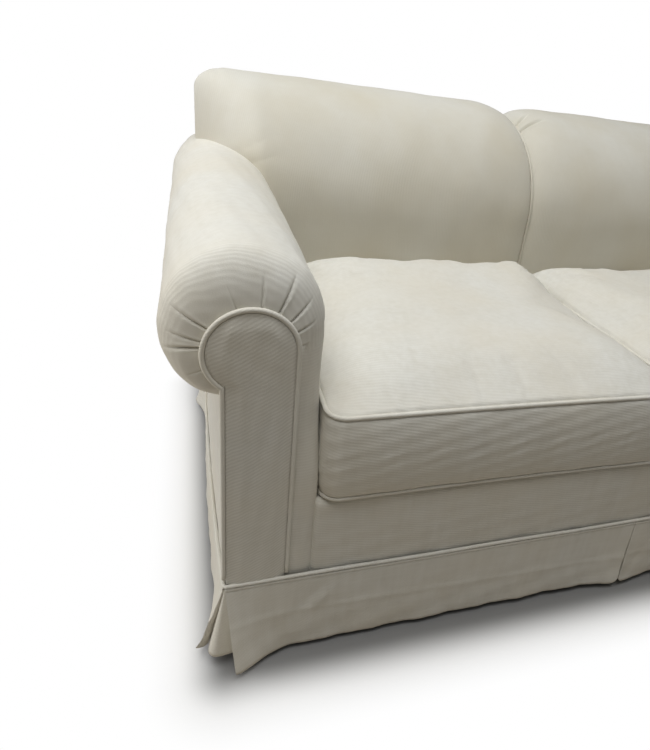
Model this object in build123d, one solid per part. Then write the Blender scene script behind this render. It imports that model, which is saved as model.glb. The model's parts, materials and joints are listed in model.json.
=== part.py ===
from build123d import *
import math
import os

# Loveseat with rolled arms, two loose seat cushions, a tight back and a skirt.
# Millimetres. +X is the sitter's left to right as seen from the front, +Y runs to the back, +Z is up.
# The pieces are laid out from the front face of the arm facings (y = 0) and moved at the end so that
# the origin is on the floor in the middle of the whole object.

# Seat and arms
SEAT_HALF = 604.0        # middle of the seat to the inner face of an arm
SEAT_DEPTH = 556.0       # arm facing to the front of the back
ARM_BASE = 123.0         # width of an arm below its roll
ROLL_OVER = 71.0         # how far the roll stands out past the outer face of the arm
ARM_RISE = 350.0         # seat deck to the top of the roll at the front
ROLL_CLIMB = 32.0        # how much the roll climbs from the facing to the outside back
FRONT_ROUND = 38.0       # depth of the gathered rounding at the front of the roll
FACING_T = 6.0           # thickness of the facing panel
FACING_MARGIN = 37.0     # inner face of the arm to the inner edge of the facing
SCROLL_OVER = 26.0       # how far the facing's scroll stands out past the outer face of the arm
SCROLL_DROP = 19.0       # centre of the facing's scroll below the centre of the roll
PAD_WALL = 8.0           # padding between the facing's inner edge and the front post
BOARD_LIFT = 15.0        # top of the arm board above the centre of the roll
PANEL_T = 5.0            # thickness of the outside panels
PANEL_DROP = 45.0        # top edge of the outside arm panel below the centre of the roll

# Back
BACK_RISE = 513.0        # seat deck to the top of the back
BACK_ROUND = 247.0       # radius of the back's front, from upright to its top
BACK_TOP_R = 50.0        # radius from the top down to the outside back
BACK_RAKE = 11.3         # lean of the outside back, degrees
BACK_LAP = 21.0          # how far the back stands out past the outer face of an arm
BACK_END_R = 44.0        # rounding of the back's outer ends
BACK_END_DEPTH = 200.0   # how far the front turns back at an outer end
BACK_END_W = 118.0       # width over which it turns
SEAM_DIP = 16.0          # depth of the centre seam
SEAM_REACH = 58.0        # distance over which the back curves into the centre seam
BACK_TOP_PAD = 90.0      # padding above the top rail

# Frame
GLIDE_H = 6.0
GLIDE_D = 30.0
LEG_H = 118.0
LEG_TOP = 52.0           # square section of a leg at its top
LEG_FOOT = 40.0          # and at its foot
LEG_INSET = 38.0         # leg centre from the two faces of the corner that it stands in
LEG_BOLT_D = 8.0
LEG_BOLT_REACH = 30.0    # thread of the hanger bolt in the leg and in the block
RAIL_H = 130.0
RAIL_T = 28.0
SIDE_RAIL_T = 30.0
STRETCHER_T = 32.0
STRETCHER_DROP = 26.0    # top of the stretcher below the top of the rails
POST_T = 32.0            # front post, front to back
POST_CUT = 24.0          # bevel at the top corners of a front post
BOARD_T = 20.0
TACK_RAIL_T = 20.0
TACK_RAIL_H = 45.0
TACK_RAIL_LIFT = 8.0     # tack rails above the seat deck
BACK_POST_D = 42.0       # back posts and back rails, front to back
MID_RAIL_H = 50.0
TOP_RAIL_H = 65.0
UPRIGHT_W = 40.0
BLOCK_H = 40.0
BLOCK_SPARE = 40.0       # length of a corner block past its leg, along each rail
SCREW_D = 5.0
SCREW_HEAD_D = 9.0
SCREW_HEAD_T = 3.0
SCREW_GRIP = 22.0        # screw in the block, and the same again in the rail
DOWEL_D = 10.0
DOWEL_L = 56.0
DOWEL_EDGE = 28.0        # dowels from the top and bottom edges of a rail

# Springs, webbing and deck
SPRING_D = 3.7
SPRING_W = 50.0
SPRING_PITCH = 24.0
SPRINGS_PER_SEAT = 4
CLIP_W = 16.0
CLIP_L = 14.0
CLIP_T = 1.5             # metal of the clip above and below the wire
WEB_T = 2.0
WEB_W = 50.0
WEBS_PER_SIDE = 3
DECK_PAD_T = 29.0
DECK_CLOTH_T = 2.0
BORDER_T = 16.0
BORDER_SET = 2.0         # front border behind the plane of the facings
BORDER_R = 9.0           # rounding of the border's top edge
DUST_T = 1.0

# Seat cushions
BOXING = 134.0           # height of the boxing, from welt to welt
BOXING_BULGE = 2.5       # how far the boxing swells past the welts' line
CROWN = 38.0             # height of the cushion's top above its upper welt
CROWN_REACH = 190.0      # distance over which the top rises to full height
CUSHION_CORNER = 26.0
CUSHION_DRAW = 2.5       # how far each side is drawn in between its corners
CUSHION_LIP = 5.0        # bottom of the cushion below its lower welt
CUSHION_PROUD = 5.0      # cushion in front of the facings
CUSHION_ROOM = 4.0       # room behind the cushion
COVER_T = 24.0           # cover and wrap round the foam core
WELT_R = 3.0
SEAM_WELT_R = 2.5

# Zip in the rear boxing of each cushion
ZIP_END = 45.0           # zip from each end of the boxing
ZIP_H = 16.0
ZIP_DEPTH = 9.0
TAPE_T = 3.0
SLIDER_W = 12.0
SLIDER_H = 10.0
SLIDER_T = 3.5

# Skirt
SKIRT_LAP = 32.0         # top of the skirt above the bottom of the rails
SKIRT_T = 2.2
HEM = 12.0               # hem above the floor
SKIRT_FLARE = 7.0        # hem in front of the top of the skirt
CORNER_KICK = 38.0       # hem at a corner pleat
CENTRE_KICK = 13.0       # hem at a centre pleat
KICK_REACH = 110.0       # length over which a kick dies away
PLEAT_OPEN = 13.0        # how far the pleat stands open at the hem
CENTRE_GAP = 2.0
INSERT_REACH = 90.0      # pleat inserts behind the panels
INSERT_FLARE = 12.0

# Clearances
FIT = 0.3                # between soft pieces, and between cover and frame
HOLE_FIT = 0.1           # round dowels, bolts and screws
LIFT_FIT = 0.8           # between a cushion's welt and what is beside it

# Heights worked out from the sizes above
RAIL_BOTTOM = GLIDE_H + LEG_H
RAIL_TOP = RAIL_BOTTOM + RAIL_H
SPRING_Z = RAIL_TOP + CLIP_T + SPRING_D / 2
CLIP_TOP = SPRING_Z + SPRING_D / 2 + CLIP_T
DECK_PAD_Z = CLIP_TOP + FIT
DECK_Z = DECK_PAD_Z + DECK_PAD_T + FIT + DECK_CLOTH_T
SKIRT_TOP = RAIL_BOTTOM + SKIRT_LAP
CUSHION_Z = DECK_Z + FIT
WELT_LOW = CUSHION_Z + CUSHION_LIP
WELT_HIGH = WELT_LOW + BOXING
BACK_TOP = DECK_Z + BACK_RISE
BACK_CURVE_Z = BACK_TOP - BACK_ROUND
POST_TOP = BACK_TOP - BACK_TOP_PAD

# Places across the width and depth
ARM_OUT = SEAT_HALF + ARM_BASE
ROLL_R = (ARM_BASE + ROLL_OVER) / 2
ROLL_X = SEAT_HALF + ROLL_R
ROLL_Z = DECK_Z + ARM_RISE - ROLL_R
FACING_IN = SEAT_HALF + FACING_MARGIN
SCROLL_R = (ARM_OUT + SCROLL_OVER - FACING_IN) / 2
SCROLL_X = FACING_IN + SCROLL_R
SCROLL_Z = ROLL_Z - SCROLL_DROP
LIP_X = ARM_OUT + FIT
CORE_IN = FACING_IN + PAD_WALL
FRAME_OUT = ARM_OUT - PANEL_T - FIT
SIDE_RAIL_IN = FRAME_OUT - SIDE_RAIL_T
POST_IN = CORE_IN + FIT
POST_REAR = FACING_T + POST_T
RAIL_FRONT = BORDER_SET + BORDER_T + FIT
RAIL_REAR = RAIL_FRONT + RAIL_T
BACK_DEPTH = SEAT_DEPTH + BACK_ROUND + BACK_TOP_R
BACK_HALF = ARM_OUT + BACK_LAP
SKIRT_IN = FIT + SKIRT_T + FIT
SKIRT_OUT = SKIRT_IN + SKIRT_T


def roll_z(y):
    """Height of the roll's centre at depth y."""
    return ROLL_Z + ROLL_CLIMB * y / BACK_DEPTH


def core_top(y):
    """Top of the space for the wooden core of an arm at depth y."""
    return roll_z(y) + BOARD_LIFT


def rear_y(z):
    """Face of the raked outside back at height z."""
    return BACK_DEPTH - (BACK_TOP - BACK_TOP_R - z) * math.tan(math.radians(BACK_RAKE))


def frame_rear(z):
    """Rear face of the back frame at height z."""
    return rear_y(z) - PANEL_T


def frame_front(z):
    """Front face of the back frame at height z."""
    return frame_rear(z) - BACK_POST_D


NOTCH_Z = core_top(SEAT_DEPTH) - FACING_T / 2      # the back is notched round the arms below this
BASE_REAR = rear_y(SKIRT_TOP)
DEPTH_FRONT = -SKIRT_OUT - CORNER_KICK
DEPTH_REAR = max(BACK_DEPTH, BASE_REAR + SKIRT_OUT + CORNER_KICK)
Y_MID = (DEPTH_FRONT + DEPTH_REAR) / 2
FAR = 2 * BACK_DEPTH


def block(x0, x1, y0, y1, z0, z1):
    """A rectangular block between two corners."""
    centre = Pos((x0 + x1) / 2, (y0 + y1) / 2, (z0 + z1) / 2)
    return centre * Box(x1 - x0, y1 - y0, z1 - z0)


def side_prism(points, x0, x1):
    """An outline of (y, z) points, carried across from x0 to x1."""
    outline = Polyline(*[(x0, y, z) for y, z in points], close=True)
    return extrude(make_face(outline), amount=x1 - x0, dir=(1, 0, 0))


def plan_prism(points, z0, z1):
    """An outline of (x, y) points, carried up from z0 to z1."""
    outline = Polyline(*[(x, y, z0) for x, y in points], close=True)
    return extrude(make_face(outline), amount=z1 - z0, dir=(0, 0, 1))


def rod(start, direction, radius, length):
    """A round bar from a point along a direction."""
    return extrude(Plane(start, z_dir=direction) * Circle(radius), amount=length)


def tube(path, radius):
    """A cord of one radius along a path."""
    return sweep(Plane(path @ 0, z_dir=path % 0) * Circle(radius), path=path)


def raked_bar(z0, z1, x0, x1):
    """A bar of the back frame, between two heights and two sides."""
    points = [
        (frame_front(z0), z0),
        (frame_rear(z0), z0),
        (frame_rear(z1), z1),
        (frame_front(z1), z1),
    ]
    return side_prism(points, x0, x1)


def mirrored(shape):
    return mirror(shape, about=Plane.YZ)


# Joints of the frame: dowels along X at the ends of the rails

FRONT_DOWEL_Y = (RAIL_FRONT + POST_REAR) / 2
MID_RAIL_Z = DECK_Z + TACK_RAIL_LIFT
TOP_RAIL_Z = POST_TOP - TOP_RAIL_H


def dowel_points():
    """Middles of the dowels on the right side."""
    rail_heights = (RAIL_BOTTOM + DOWEL_EDGE, RAIL_TOP - DOWEL_EDGE)
    points = [(POST_IN, FRONT_DOWEL_Y, z) for z in rail_heights]
    back_heights = rail_heights + (MID_RAIL_Z + MID_RAIL_H / 2, TOP_RAIL_Z + TOP_RAIL_H / 2)
    points += [(POST_IN, (frame_front(z) + frame_rear(z)) / 2, z) for z in back_heights]
    return points


def dowels(clearance):
    bars = []
    for x, y, z in dowel_points():
        for side in (-1, 1):
            start = (side * x - DOWEL_L / 2 - clearance, y, z)
            bars.append(rod(start, (1, 0, 0), DOWEL_D / 2 + clearance, DOWEL_L + 2 * clearance))
    return bars


DOWEL_HOLES = dowels(HOLE_FIT)


# Corner blocks, legs and what holds them

BLOCK_LEG = 2 * LEG_INSET + BLOCK_SPARE
BACK_CORNER_Y = frame_front(RAIL_BOTTOM)
LEG_PLACES = [
    (SIDE_RAIL_IN - LEG_INSET, POST_REAR + LEG_INSET),
    (SIDE_RAIL_IN - LEG_INSET, BACK_CORNER_Y - LEG_INSET),
]
SCREW_Z = RAIL_BOTTOM + BLOCK_H / 2


def corner_blocks():
    """The front and the rear block of the right side."""
    front = plan_prism(
        [
            (SIDE_RAIL_IN, POST_REAR),
            (SIDE_RAIL_IN, POST_REAR + BLOCK_LEG),
            (SIDE_RAIL_IN - BLOCK_LEG, RAIL_REAR),
            (POST_IN, RAIL_REAR),
            (POST_IN, POST_REAR),
        ],
        RAIL_BOTTOM,
        RAIL_BOTTOM + BLOCK_H,
    )
    rear = plan_prism(
        [
            (SIDE_RAIL_IN, BACK_CORNER_Y - BLOCK_LEG),
            (SIDE_RAIL_IN, frame_front(RAIL_TOP)),
            (SIDE_RAIL_IN - BLOCK_LEG, frame_front(RAIL_TOP)),
            (SIDE_RAIL_IN - BLOCK_LEG, BACK_CORNER_Y),
        ],
        RAIL_BOTTOM,
        RAIL_BOTTOM + BLOCK_H,
    )
    rear -= raked_bar(RAIL_BOTTOM, RAIL_TOP, 0, SIDE_RAIL_IN)
    return [front, rear]


def screw(seat, direction, clearance, head_room):
    """A screw whose head sits at a point, with its shank along a direction."""
    back = tuple(-d for d in direction)
    shank = rod(seat, direction, SCREW_D / 2 + clearance, 2 * SCREW_GRIP + clearance)
    head = rod(seat, back, SCREW_HEAD_D / 2 + clearance, head_room)
    return shank + head


def block_screws(clearance, head_room):
    """Two screws in each corner block: one into the side rail, one into the front or back frame."""
    reach = BLOCK_LEG - 1.5 * SCREW_GRIP
    rear_face = frame_front(SCREW_Z)
    places = [
        ((SIDE_RAIL_IN - SCREW_GRIP, POST_REAR + reach, SCREW_Z), (1, 0, 0)),
        ((SIDE_RAIL_IN - reach, RAIL_REAR + SCREW_GRIP, SCREW_Z), (0, -1, 0)),
        ((SIDE_RAIL_IN - SCREW_GRIP, BACK_CORNER_Y - reach, SCREW_Z), (1, 0, 0)),
        ((SIDE_RAIL_IN - reach, rear_face - SCREW_GRIP, SCREW_Z), (0, 1, 0)),
    ]
    right = [screw(seat, direction, clearance, head_room) for seat, direction in places]
    return right + [mirrored(one) for one in right]


SCREW_HOLES = block_screws(HOLE_FIT, BLOCK_LEG)


def leg_bolts(clearance):
    bolts = []
    for x, y in LEG_PLACES:
        for side in (-1, 1):
            start = (side * x, y, RAIL_BOTTOM - LEG_BOLT_REACH - clearance)
            length = 2 * (LEG_BOLT_REACH + clearance)
            bolts.append(rod(start, (0, 0, 1), LEG_BOLT_D / 2 + clearance, length))
    return bolts


BOLT_HOLES = leg_bolts(HOLE_FIT)


def leg(x, y):
    foot = Pos(x, y, GLIDE_H) * Rectangle(LEG_FOOT, LEG_FOOT)
    top = Pos(x, y, RAIL_BOTTOM) * Rectangle(LEG_TOP, LEG_TOP)
    return loft([foot.face(), top.face()], ruled=True)


def legs():
    return [leg(side * x, y) - BOLT_HOLES for x, y in LEG_PLACES for side in (-1, 1)]


def glides():
    discs = []
    for x, y in LEG_PLACES:
        for side in (-1, 1):
            disc = Pos(side * x, y, GLIDE_H / 2) * Cylinder(GLIDE_D / 2, GLIDE_H)
            discs.append(chamfer(disc.edges().sort_by(Axis.Z)[0], GLIDE_H / 4))
    return discs


# Base frame and arm frames

def front_rail():
    rail = block(-POST_IN, POST_IN, RAIL_FRONT, RAIL_REAR, RAIL_BOTTOM, RAIL_TOP)
    return rail - DOWEL_HOLES - SCREW_HOLES


def side_rail():
    points = [
        (POST_REAR, RAIL_BOTTOM),
        (frame_rear(RAIL_BOTTOM), RAIL_BOTTOM),
        (frame_rear(RAIL_TOP), RAIL_TOP),
        (POST_REAR, RAIL_TOP),
    ]
    return side_prism(points, SIDE_RAIL_IN, FRAME_OUT) - SCREW_HOLES


def stretcher():
    top = RAIL_TOP - STRETCHER_DROP
    points = [
        (RAIL_REAR, RAIL_BOTTOM),
        (frame_front(RAIL_BOTTOM), RAIL_BOTTOM),
        (frame_front(top), top),
        (RAIL_REAR, top),
    ]
    return side_prism(points, -STRETCHER_T / 2, STRETCHER_T / 2)


def front_post():
    top = core_top(FACING_T) - FIT
    post = block(POST_IN, FRAME_OUT, FACING_T, POST_REAR, RAIL_BOTTOM, top)
    upper = post.edges().filter_by(Axis.Y).group_by(Axis.Z)[-1]
    return chamfer(upper, POST_CUT) - DOWEL_HOLES


BOARD_END = SEAT_DEPTH - FACING_T


def arm_board():
    points = [
        (POST_REAR, core_top(POST_REAR) - FIT - BOARD_T),
        (BOARD_END, core_top(BOARD_END) - FIT - BOARD_T),
        (BOARD_END, core_top(BOARD_END) - FIT),
        (POST_REAR, core_top(POST_REAR) - FIT),
    ]
    return side_prism(points, POST_IN + POST_CUT, FRAME_OUT)


def rear_arm_post():
    front = BOARD_END - POST_T
    points = [
        (front, RAIL_TOP),
        (BOARD_END, RAIL_TOP),
        (BOARD_END, core_top(BOARD_END) - FIT - BOARD_T),
        (front, core_top(front) - FIT - BOARD_T),
    ]
    return side_prism(points, SIDE_RAIL_IN, FRAME_OUT)


def tack_rail():
    low = DECK_Z + TACK_RAIL_LIFT
    high = low + TACK_RAIL_H
    points = [
        (POST_REAR, low),
        (frame_front(low), low),
        (frame_front(high), high),
        (POST_REAR, high),
    ]
    return side_prism(points, POST_IN, POST_IN + TACK_RAIL_T)


# Back frame and its webbing

def back_post():
    return raked_bar(RAIL_BOTTOM, POST_TOP, POST_IN, SIDE_RAIL_IN) - DOWEL_HOLES - SCREW_HOLES


def back_rail(z0, z1):
    return raked_bar(z0, z1, -POST_IN, POST_IN) - DOWEL_HOLES - SCREW_HOLES


def webbing():
    z0 = MID_RAIL_Z + MID_RAIL_H / 2
    z1 = TOP_RAIL_Z + TOP_RAIL_H / 2
    points = [
        (frame_front(z0) - WEB_T, z0),
        (frame_front(z0), z0),
        (frame_front(z1), z1),
        (frame_front(z1) - WEB_T, z1),
    ]
    step = POST_IN / WEBS_PER_SIDE
    strips = []
    for i in range(WEBS_PER_SIDE):
        x = (i + 0.5) * step
        strip = side_prism(points, x - WEB_W / 2, x + WEB_W / 2)
        strips += [strip, mirrored(strip)]
    return strips


# Seat springs and deck

SPRING_FRONT = (RAIL_FRONT + RAIL_REAR) / 2
SPRING_REAR = (frame_front(RAIL_TOP) + frame_rear(RAIL_TOP)) / 2
SPRING_STEP = SEAT_HALF / SPRINGS_PER_SEAT
SPRING_PLACES = [side * (i + 0.5) * SPRING_STEP for i in range(SPRINGS_PER_SEAT) for side in (-1, 1)]


def spring(x):
    """A flat zigzag of wire from the front rail to the rear rail."""
    rows = round((SPRING_REAR - SPRING_FRONT) / SPRING_PITCH)
    pitch = (SPRING_REAR - SPRING_FRONT) / rows
    points = []
    for i in range(rows + 1):
        y = SPRING_FRONT + i * pitch
        near = -SPRING_W / 2 if i % 2 == 0 else SPRING_W / 2
        points += [(x + near, y, SPRING_Z), (x - near, y, SPRING_Z)]
    return tube(FilletPolyline(*points, radius=0.48 * pitch), SPRING_D / 2)


def spring_clips():
    """Clips that hold the first and the last bar of each spring on the rails."""
    clips = []
    for x in SPRING_PLACES:
        for y in (SPRING_FRONT, SPRING_REAR):
            clip = block(x - CLIP_W / 2, x + CLIP_W / 2, y - CLIP_L / 2, y + CLIP_L / 2, RAIL_TOP, CLIP_TOP)
            bar = rod((x - SPRING_W, y, SPRING_Z), (1, 0, 0), SPRING_D / 2 + HOLE_FIT, 2 * SPRING_W)
            clips.append(clip - bar)
    return clips


DECK_FRONT = BORDER_SET + BORDER_T + FIT
DECK_REAR = frame_front(RAIL_TOP) - FACING_T
DECK_HALF = SEAT_HALF - FIT


def deck_pad():
    return block(-DECK_HALF, DECK_HALF, DECK_FRONT, DECK_REAR, DECK_PAD_Z, DECK_PAD_Z + DECK_PAD_T)


def deck_cloth():
    return block(-DECK_HALF, DECK_HALF, DECK_FRONT, DECK_REAR, DECK_Z - DECK_CLOTH_T, DECK_Z)


def front_border():
    border = block(-DECK_HALF, DECK_HALF, BORDER_SET, BORDER_SET + BORDER_T, RAIL_BOTTOM, DECK_Z)
    upper = border.edges().filter_by(Axis.X).group_by(Axis.Z)[-1].sort_by(Axis.Y)[0]
    return fillet(upper, BORDER_R)


def dust_cover():
    top = RAIL_BOTTOM - FIT
    edge = SIDE_RAIL_IN + SIDE_RAIL_T / 2
    cover = block(-edge, edge, POST_REAR - POST_T / 2, frame_rear(RAIL_BOTTOM) - BACK_POST_D / 2, top - DUST_T, top)
    hole = LEG_TOP + 2 * FIT
    for x, y in LEG_PLACES:
        for side in (-1, 1):
            cover -= Pos(side * x, y, top) * Box(hole, hole, 4 * DUST_T)
    return cover


# Arms

def arm_section(y, t):
    """Section of the arm's padding at depth y: over the inner face, round the roll, to its lip.

    t runs from 0 at the facing, where the section follows the scroll, to 1 on the full roll.
    """
    lap = PAD_WALL / 4
    r = (SCROLL_R - lap) * (1 - t) + ROLL_R * t
    cx = SCROLL_X * (1 - t) + ROLL_X * t
    cz = SCROLL_Z * (1 - t) + roll_z(y) * t
    c45 = r * math.sqrt(0.5)
    lip_angle = math.acos((LIP_X - cx) / r)
    lip = (LIP_X, y, cz - r * math.sin(lip_angle))
    on_way = (cx + r * math.cos(lip_angle / 2), y, cz - r * math.sin(lip_angle / 2))
    low_in, low_core = (cx - r, y, RAIL_BOTTOM), (CORE_IN, y, RAIL_BOTTOM)
    top_lip = (LIP_X, y, core_top(y))
    bevel_top = (CORE_IN + POST_CUT, y, core_top(y))
    bevel_side = (CORE_IN, y, core_top(y) - POST_CUT)
    return Wire(
        [
            Line(low_in, (cx - r, y, cz)),
            ThreePointArc((cx - r, y, cz), (cx - c45, y, cz + c45), (cx, y, cz + r)),
            ThreePointArc((cx, y, cz + r), (cx + c45, y, cz + c45), (cx + r, y, cz)),
            ThreePointArc((cx + r, y, cz), on_way, lip),
            Line(lip, top_lip),
            Line(top_lip, bevel_top),
            Line(bevel_top, bevel_side),
            Line(bevel_side, low_core),
            Line(low_core, low_in),
        ]
    )


def arm_pad(back_envelope):
    turns = [math.radians(a) for a in (0, 25, 50, 70, 90)]
    sections = [
        arm_section(FACING_T + FRONT_ROUND * (1 - math.cos(a)), math.sin(a)) for a in turns
    ]
    sections.append(arm_section(BACK_DEPTH, 1))
    pad = Solid.make_loft(sections, ruled=True)
    behind = [
        (rear_y(0), 0),
        (rear_y(BACK_TOP), BACK_TOP),
        (FAR, BACK_TOP),
        (FAR, 0),
    ]
    frame_room = block(0, LIP_X, BACK_CORNER_Y - FACING_T, FAR, 0, BACK_TOP)
    rail_room = block(0, CORE_IN, RAIL_FRONT - FIT, FAR, 0, RAIL_TOP + FIT)
    return pad - side_prism(behind, 0, FAR) - frame_room - rail_room - back_envelope


def scroll_path(grow, y):
    """Outline of the facing, grown outwards, open at the bottom."""
    r = SCROLL_R + grow
    x_in, x_out = SCROLL_X - r, ARM_OUT + grow
    c45 = r * math.sqrt(0.5)
    neck_angle = math.acos((x_out - SCROLL_X) / r)
    neck = (x_out, y, SCROLL_Z - r * math.sin(neck_angle))
    on_way = (SCROLL_X + r * math.cos(neck_angle / 2), y, SCROLL_Z - r * math.sin(neck_angle / 2))
    return [
        Line((x_in, y, RAIL_BOTTOM), (x_in, y, SCROLL_Z)),
        ThreePointArc((x_in, y, SCROLL_Z), (SCROLL_X - c45, y, SCROLL_Z + c45), (SCROLL_X, y, SCROLL_Z + r)),
        ThreePointArc((SCROLL_X, y, SCROLL_Z + r), (SCROLL_X + c45, y, SCROLL_Z + c45), (SCROLL_X + r, y, SCROLL_Z)),
        ThreePointArc((SCROLL_X + r, y, SCROLL_Z), on_way, neck),
        Line(neck, (x_out, y, RAIL_BOTTOM)),
    ]


def facing():
    edges = scroll_path(0, 0)
    closing = Line(edges[-1] @ 1, edges[0] @ 0)
    return extrude(make_face(edges + [closing]), amount=FACING_T, dir=(0, 1, 0))


def facing_welt():
    """The cord round the facing, from the skirt's welt up over the scroll and down again."""
    path = Wire(scroll_path(WELT_R + FIT / 2, FACING_T / 2))
    neck = path.vertices().sort_by_distance((ARM_OUT, FACING_T / 2, SCROLL_Z - SCROLL_R))[0]
    cord = tube(path.fillet_2d(3 * WELT_R, [neck]), WELT_R)
    return cord - block(0, FAR, -FAR, FAR, 0, SKIRT_TOP + 2 * (WELT_R + FIT))


def outside_arm():
    top_rear = roll_z(BACK_DEPTH) - PANEL_DROP
    points = [
        (FACING_T, RAIL_BOTTOM),
        (frame_rear(RAIL_BOTTOM), RAIL_BOTTOM),
        (frame_rear(top_rear), top_rear),
        (FACING_T, roll_z(FACING_T) - PANEL_DROP),
    ]
    return side_prism(points, ARM_OUT - PANEL_T, ARM_OUT)


# Back pads

def end_stations(grow):
    """Places across one back pad, each with how far its front and its top are drawn in there."""
    stations = []
    for a in (0, 30, 60, 90):
        turn = math.radians(a)
        x = CENTRE_GAP / 2 + SEAM_REACH * (1 - math.cos(turn))
        dip = SEAM_DIP * (1 - math.sin(turn)) - grow
        stations.append((x, dip, dip))
    for u in (0, 0.35, 0.7, 0.9, 1):
        x = BACK_HALF + grow - BACK_END_W * (1 - u)
        turned = max(0, 2 * u - 1)
        drop = BACK_END_R * (1 - math.sqrt(1 - turned**2)) - grow
        stations.append((x, BACK_END_DEPTH * u**1.5 - grow, drop))
    return stations


def back_front(x, inset, drop, low):
    """The front and top of the back's section, from its foot to the ridge."""
    c45 = math.sqrt(0.5)
    deep, high = BACK_ROUND - inset, BACK_ROUND - drop
    y0, y1 = SEAT_DEPTH + inset, SEAT_DEPTH + BACK_ROUND
    ridge = (x, y1, BACK_CURVE_Z + high)
    bend = (x, y1 - deep * c45, BACK_CURVE_Z + high * c45)
    return [
        Line((x, y0, low), (x, y0, BACK_CURVE_Z)),
        ThreePointArc((x, y0, BACK_CURVE_Z), bend, ridge),
    ]


def back_section(x, inset, drop):
    low = DECK_Z + FIT if inset < SEAM_REACH else (DECK_Z + NOTCH_Z) / 2
    edges = back_front(x, inset, drop, low)
    r = BACK_TOP_R - drop
    c45 = r * math.sqrt(0.5)
    y1, z1 = SEAT_DEPTH + BACK_ROUND, BACK_TOP - BACK_TOP_R
    shoulder = (x, y1 + r, z1)
    seat = POST_TOP + FIT
    hook = (x, rear_y(seat), seat)
    step = (x, frame_rear(seat) - FIT, seat)
    foot = (x, frame_rear(low) - FIT, low)
    edges += [
        ThreePointArc((x, y1, z1 + r), (x, y1 + c45, z1 + c45), shoulder),
        Line(shoulder, hook),
        Line(hook, step),
        Line(step, foot),
        Line(foot, (x, SEAT_DEPTH + inset, low)),
    ]
    return Wire(edges)


def envelope_section(x, inset, drop):
    edges = back_front(x, inset, drop, DECK_Z)
    ridge = edges[-1] @ 1
    top, foot = (x, FAR, ridge.Z), (x, FAR, DECK_Z)
    edges += [Line(ridge, top), Line(top, foot), Line(foot, (x, SEAT_DEPTH + inset, DECK_Z))]
    return Wire(edges)


def back_envelope():
    """The room that the back takes above its notch round the arm."""
    room = Solid.make_loft([envelope_section(*station) for station in end_stations(FIT)], ruled=True)
    return room - block(-FAR, FAR, 0, 2 * FAR, 0, NOTCH_Z)


def back_pad():
    pad = Solid.make_loft([back_section(*station) for station in end_stations(0)], ruled=True)
    notch = block(SEAT_HALF - FIT, FAR, 0, FAR, 0, NOTCH_Z + FIT)
    gap = WEB_T + 2 * FIT
    seat = POST_TOP + FIT
    frame_space = [
        (frame_front(0) - gap, 0),
        (FAR, 0),
        (FAR, seat),
        (frame_front(seat) - gap, seat),
    ]
    return pad - notch - side_prism(frame_space, -FAR, SIDE_RAIL_IN + FIT)


def seam_welt():
    """The cord along the centre seam, from the seat over the top to the outside back.

    It lies in the groove between the pads, just clear of the groove's two sides.
    """
    (x0, dip, _), (x1, shallow, _) = end_stations(0)[:2]
    run, rise = x1 - x0, dip - shallow
    inset = dip - ((SEAM_WELT_R + FIT) * math.hypot(run, rise) - x0 * rise) / run
    edges = back_front(0, inset, inset, WELT_HIGH)
    r = BACK_TOP_R - inset
    c45 = r * math.sqrt(0.5)
    y1, z1 = SEAT_DEPTH + BACK_ROUND, BACK_TOP - BACK_TOP_R
    edges.append(ThreePointArc((0, y1, z1 + r), (0, y1 + c45, z1 + c45), (0, y1 + r, z1)))
    return tube(Wire(edges), SEAM_WELT_R)


def outside_back():
    top = POST_TOP
    points = [
        (frame_rear(RAIL_BOTTOM), RAIL_BOTTOM),
        (rear_y(RAIL_BOTTOM), RAIL_BOTTOM),
        (rear_y(top), top),
        (frame_rear(top), top),
    ]
    panel = side_prism(points, -BACK_HALF, BACK_HALF)
    for side in (-1, 1):
        x0, x1 = sorted((side * ARM_OUT, side * FAR))
        panel -= block(x0, x1, 0, FAR, 0, NOTCH_Z + FIT)
    return panel


# Seat cushions

CUSHION_X0 = WELT_R + LIFT_FIT
CUSHION_X1 = SEAT_HALF - WELT_R - LIFT_FIT
CUSHION_Y0 = -CUSHION_PROUD
CUSHION_Y1 = SEAT_DEPTH - CUSHION_ROOM - WELT_R


def cushion_outline(z, inset):
    """Plan of the right cushion at one height: sides drawn in between rounded corners."""
    x0, x1 = CUSHION_X0 + inset, CUSHION_X1 - inset
    y0, y1 = CUSHION_Y0 + inset, CUSHION_Y1 - inset
    xm, ym = (x0 + x1) / 2, (y0 + y1) / 2
    sides = Wire(
        [
            ThreePointArc((x0, y0, z), (xm, y0 + CUSHION_DRAW, z), (x1, y0, z)),
            ThreePointArc((x1, y0, z), (x1 - CUSHION_DRAW, ym, z), (x1, y1, z)),
            ThreePointArc((x1, y1, z), (xm, y1 - CUSHION_DRAW, z), (x0, y1, z)),
            ThreePointArc((x0, y1, z), (x0 + CUSHION_DRAW, ym, z), (x0, y0, z)),
        ]
    )
    return sides.fillet_2d(CUSHION_CORNER, sides.vertices())


WELT_PATHS = [cushion_outline(WELT_LOW, 0), cushion_outline(WELT_HIGH, 0)]
CORE_BOX = (
    CUSHION_X0 + COVER_T,
    CUSHION_X1 - COVER_T,
    CUSHION_Y0 + COVER_T,
    CUSHION_Y1 - COVER_T,
    CUSHION_Z + COVER_T / 2,
    WELT_HIGH - COVER_T / 4,
)
ZIP_X0 = CUSHION_X0 + ZIP_END
ZIP_X1 = CUSHION_X1 - ZIP_END
ZIP_Z = (WELT_LOW + WELT_HIGH) / 2
ZIP_FLOOR = CUSHION_Y1 - ZIP_DEPTH


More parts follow.
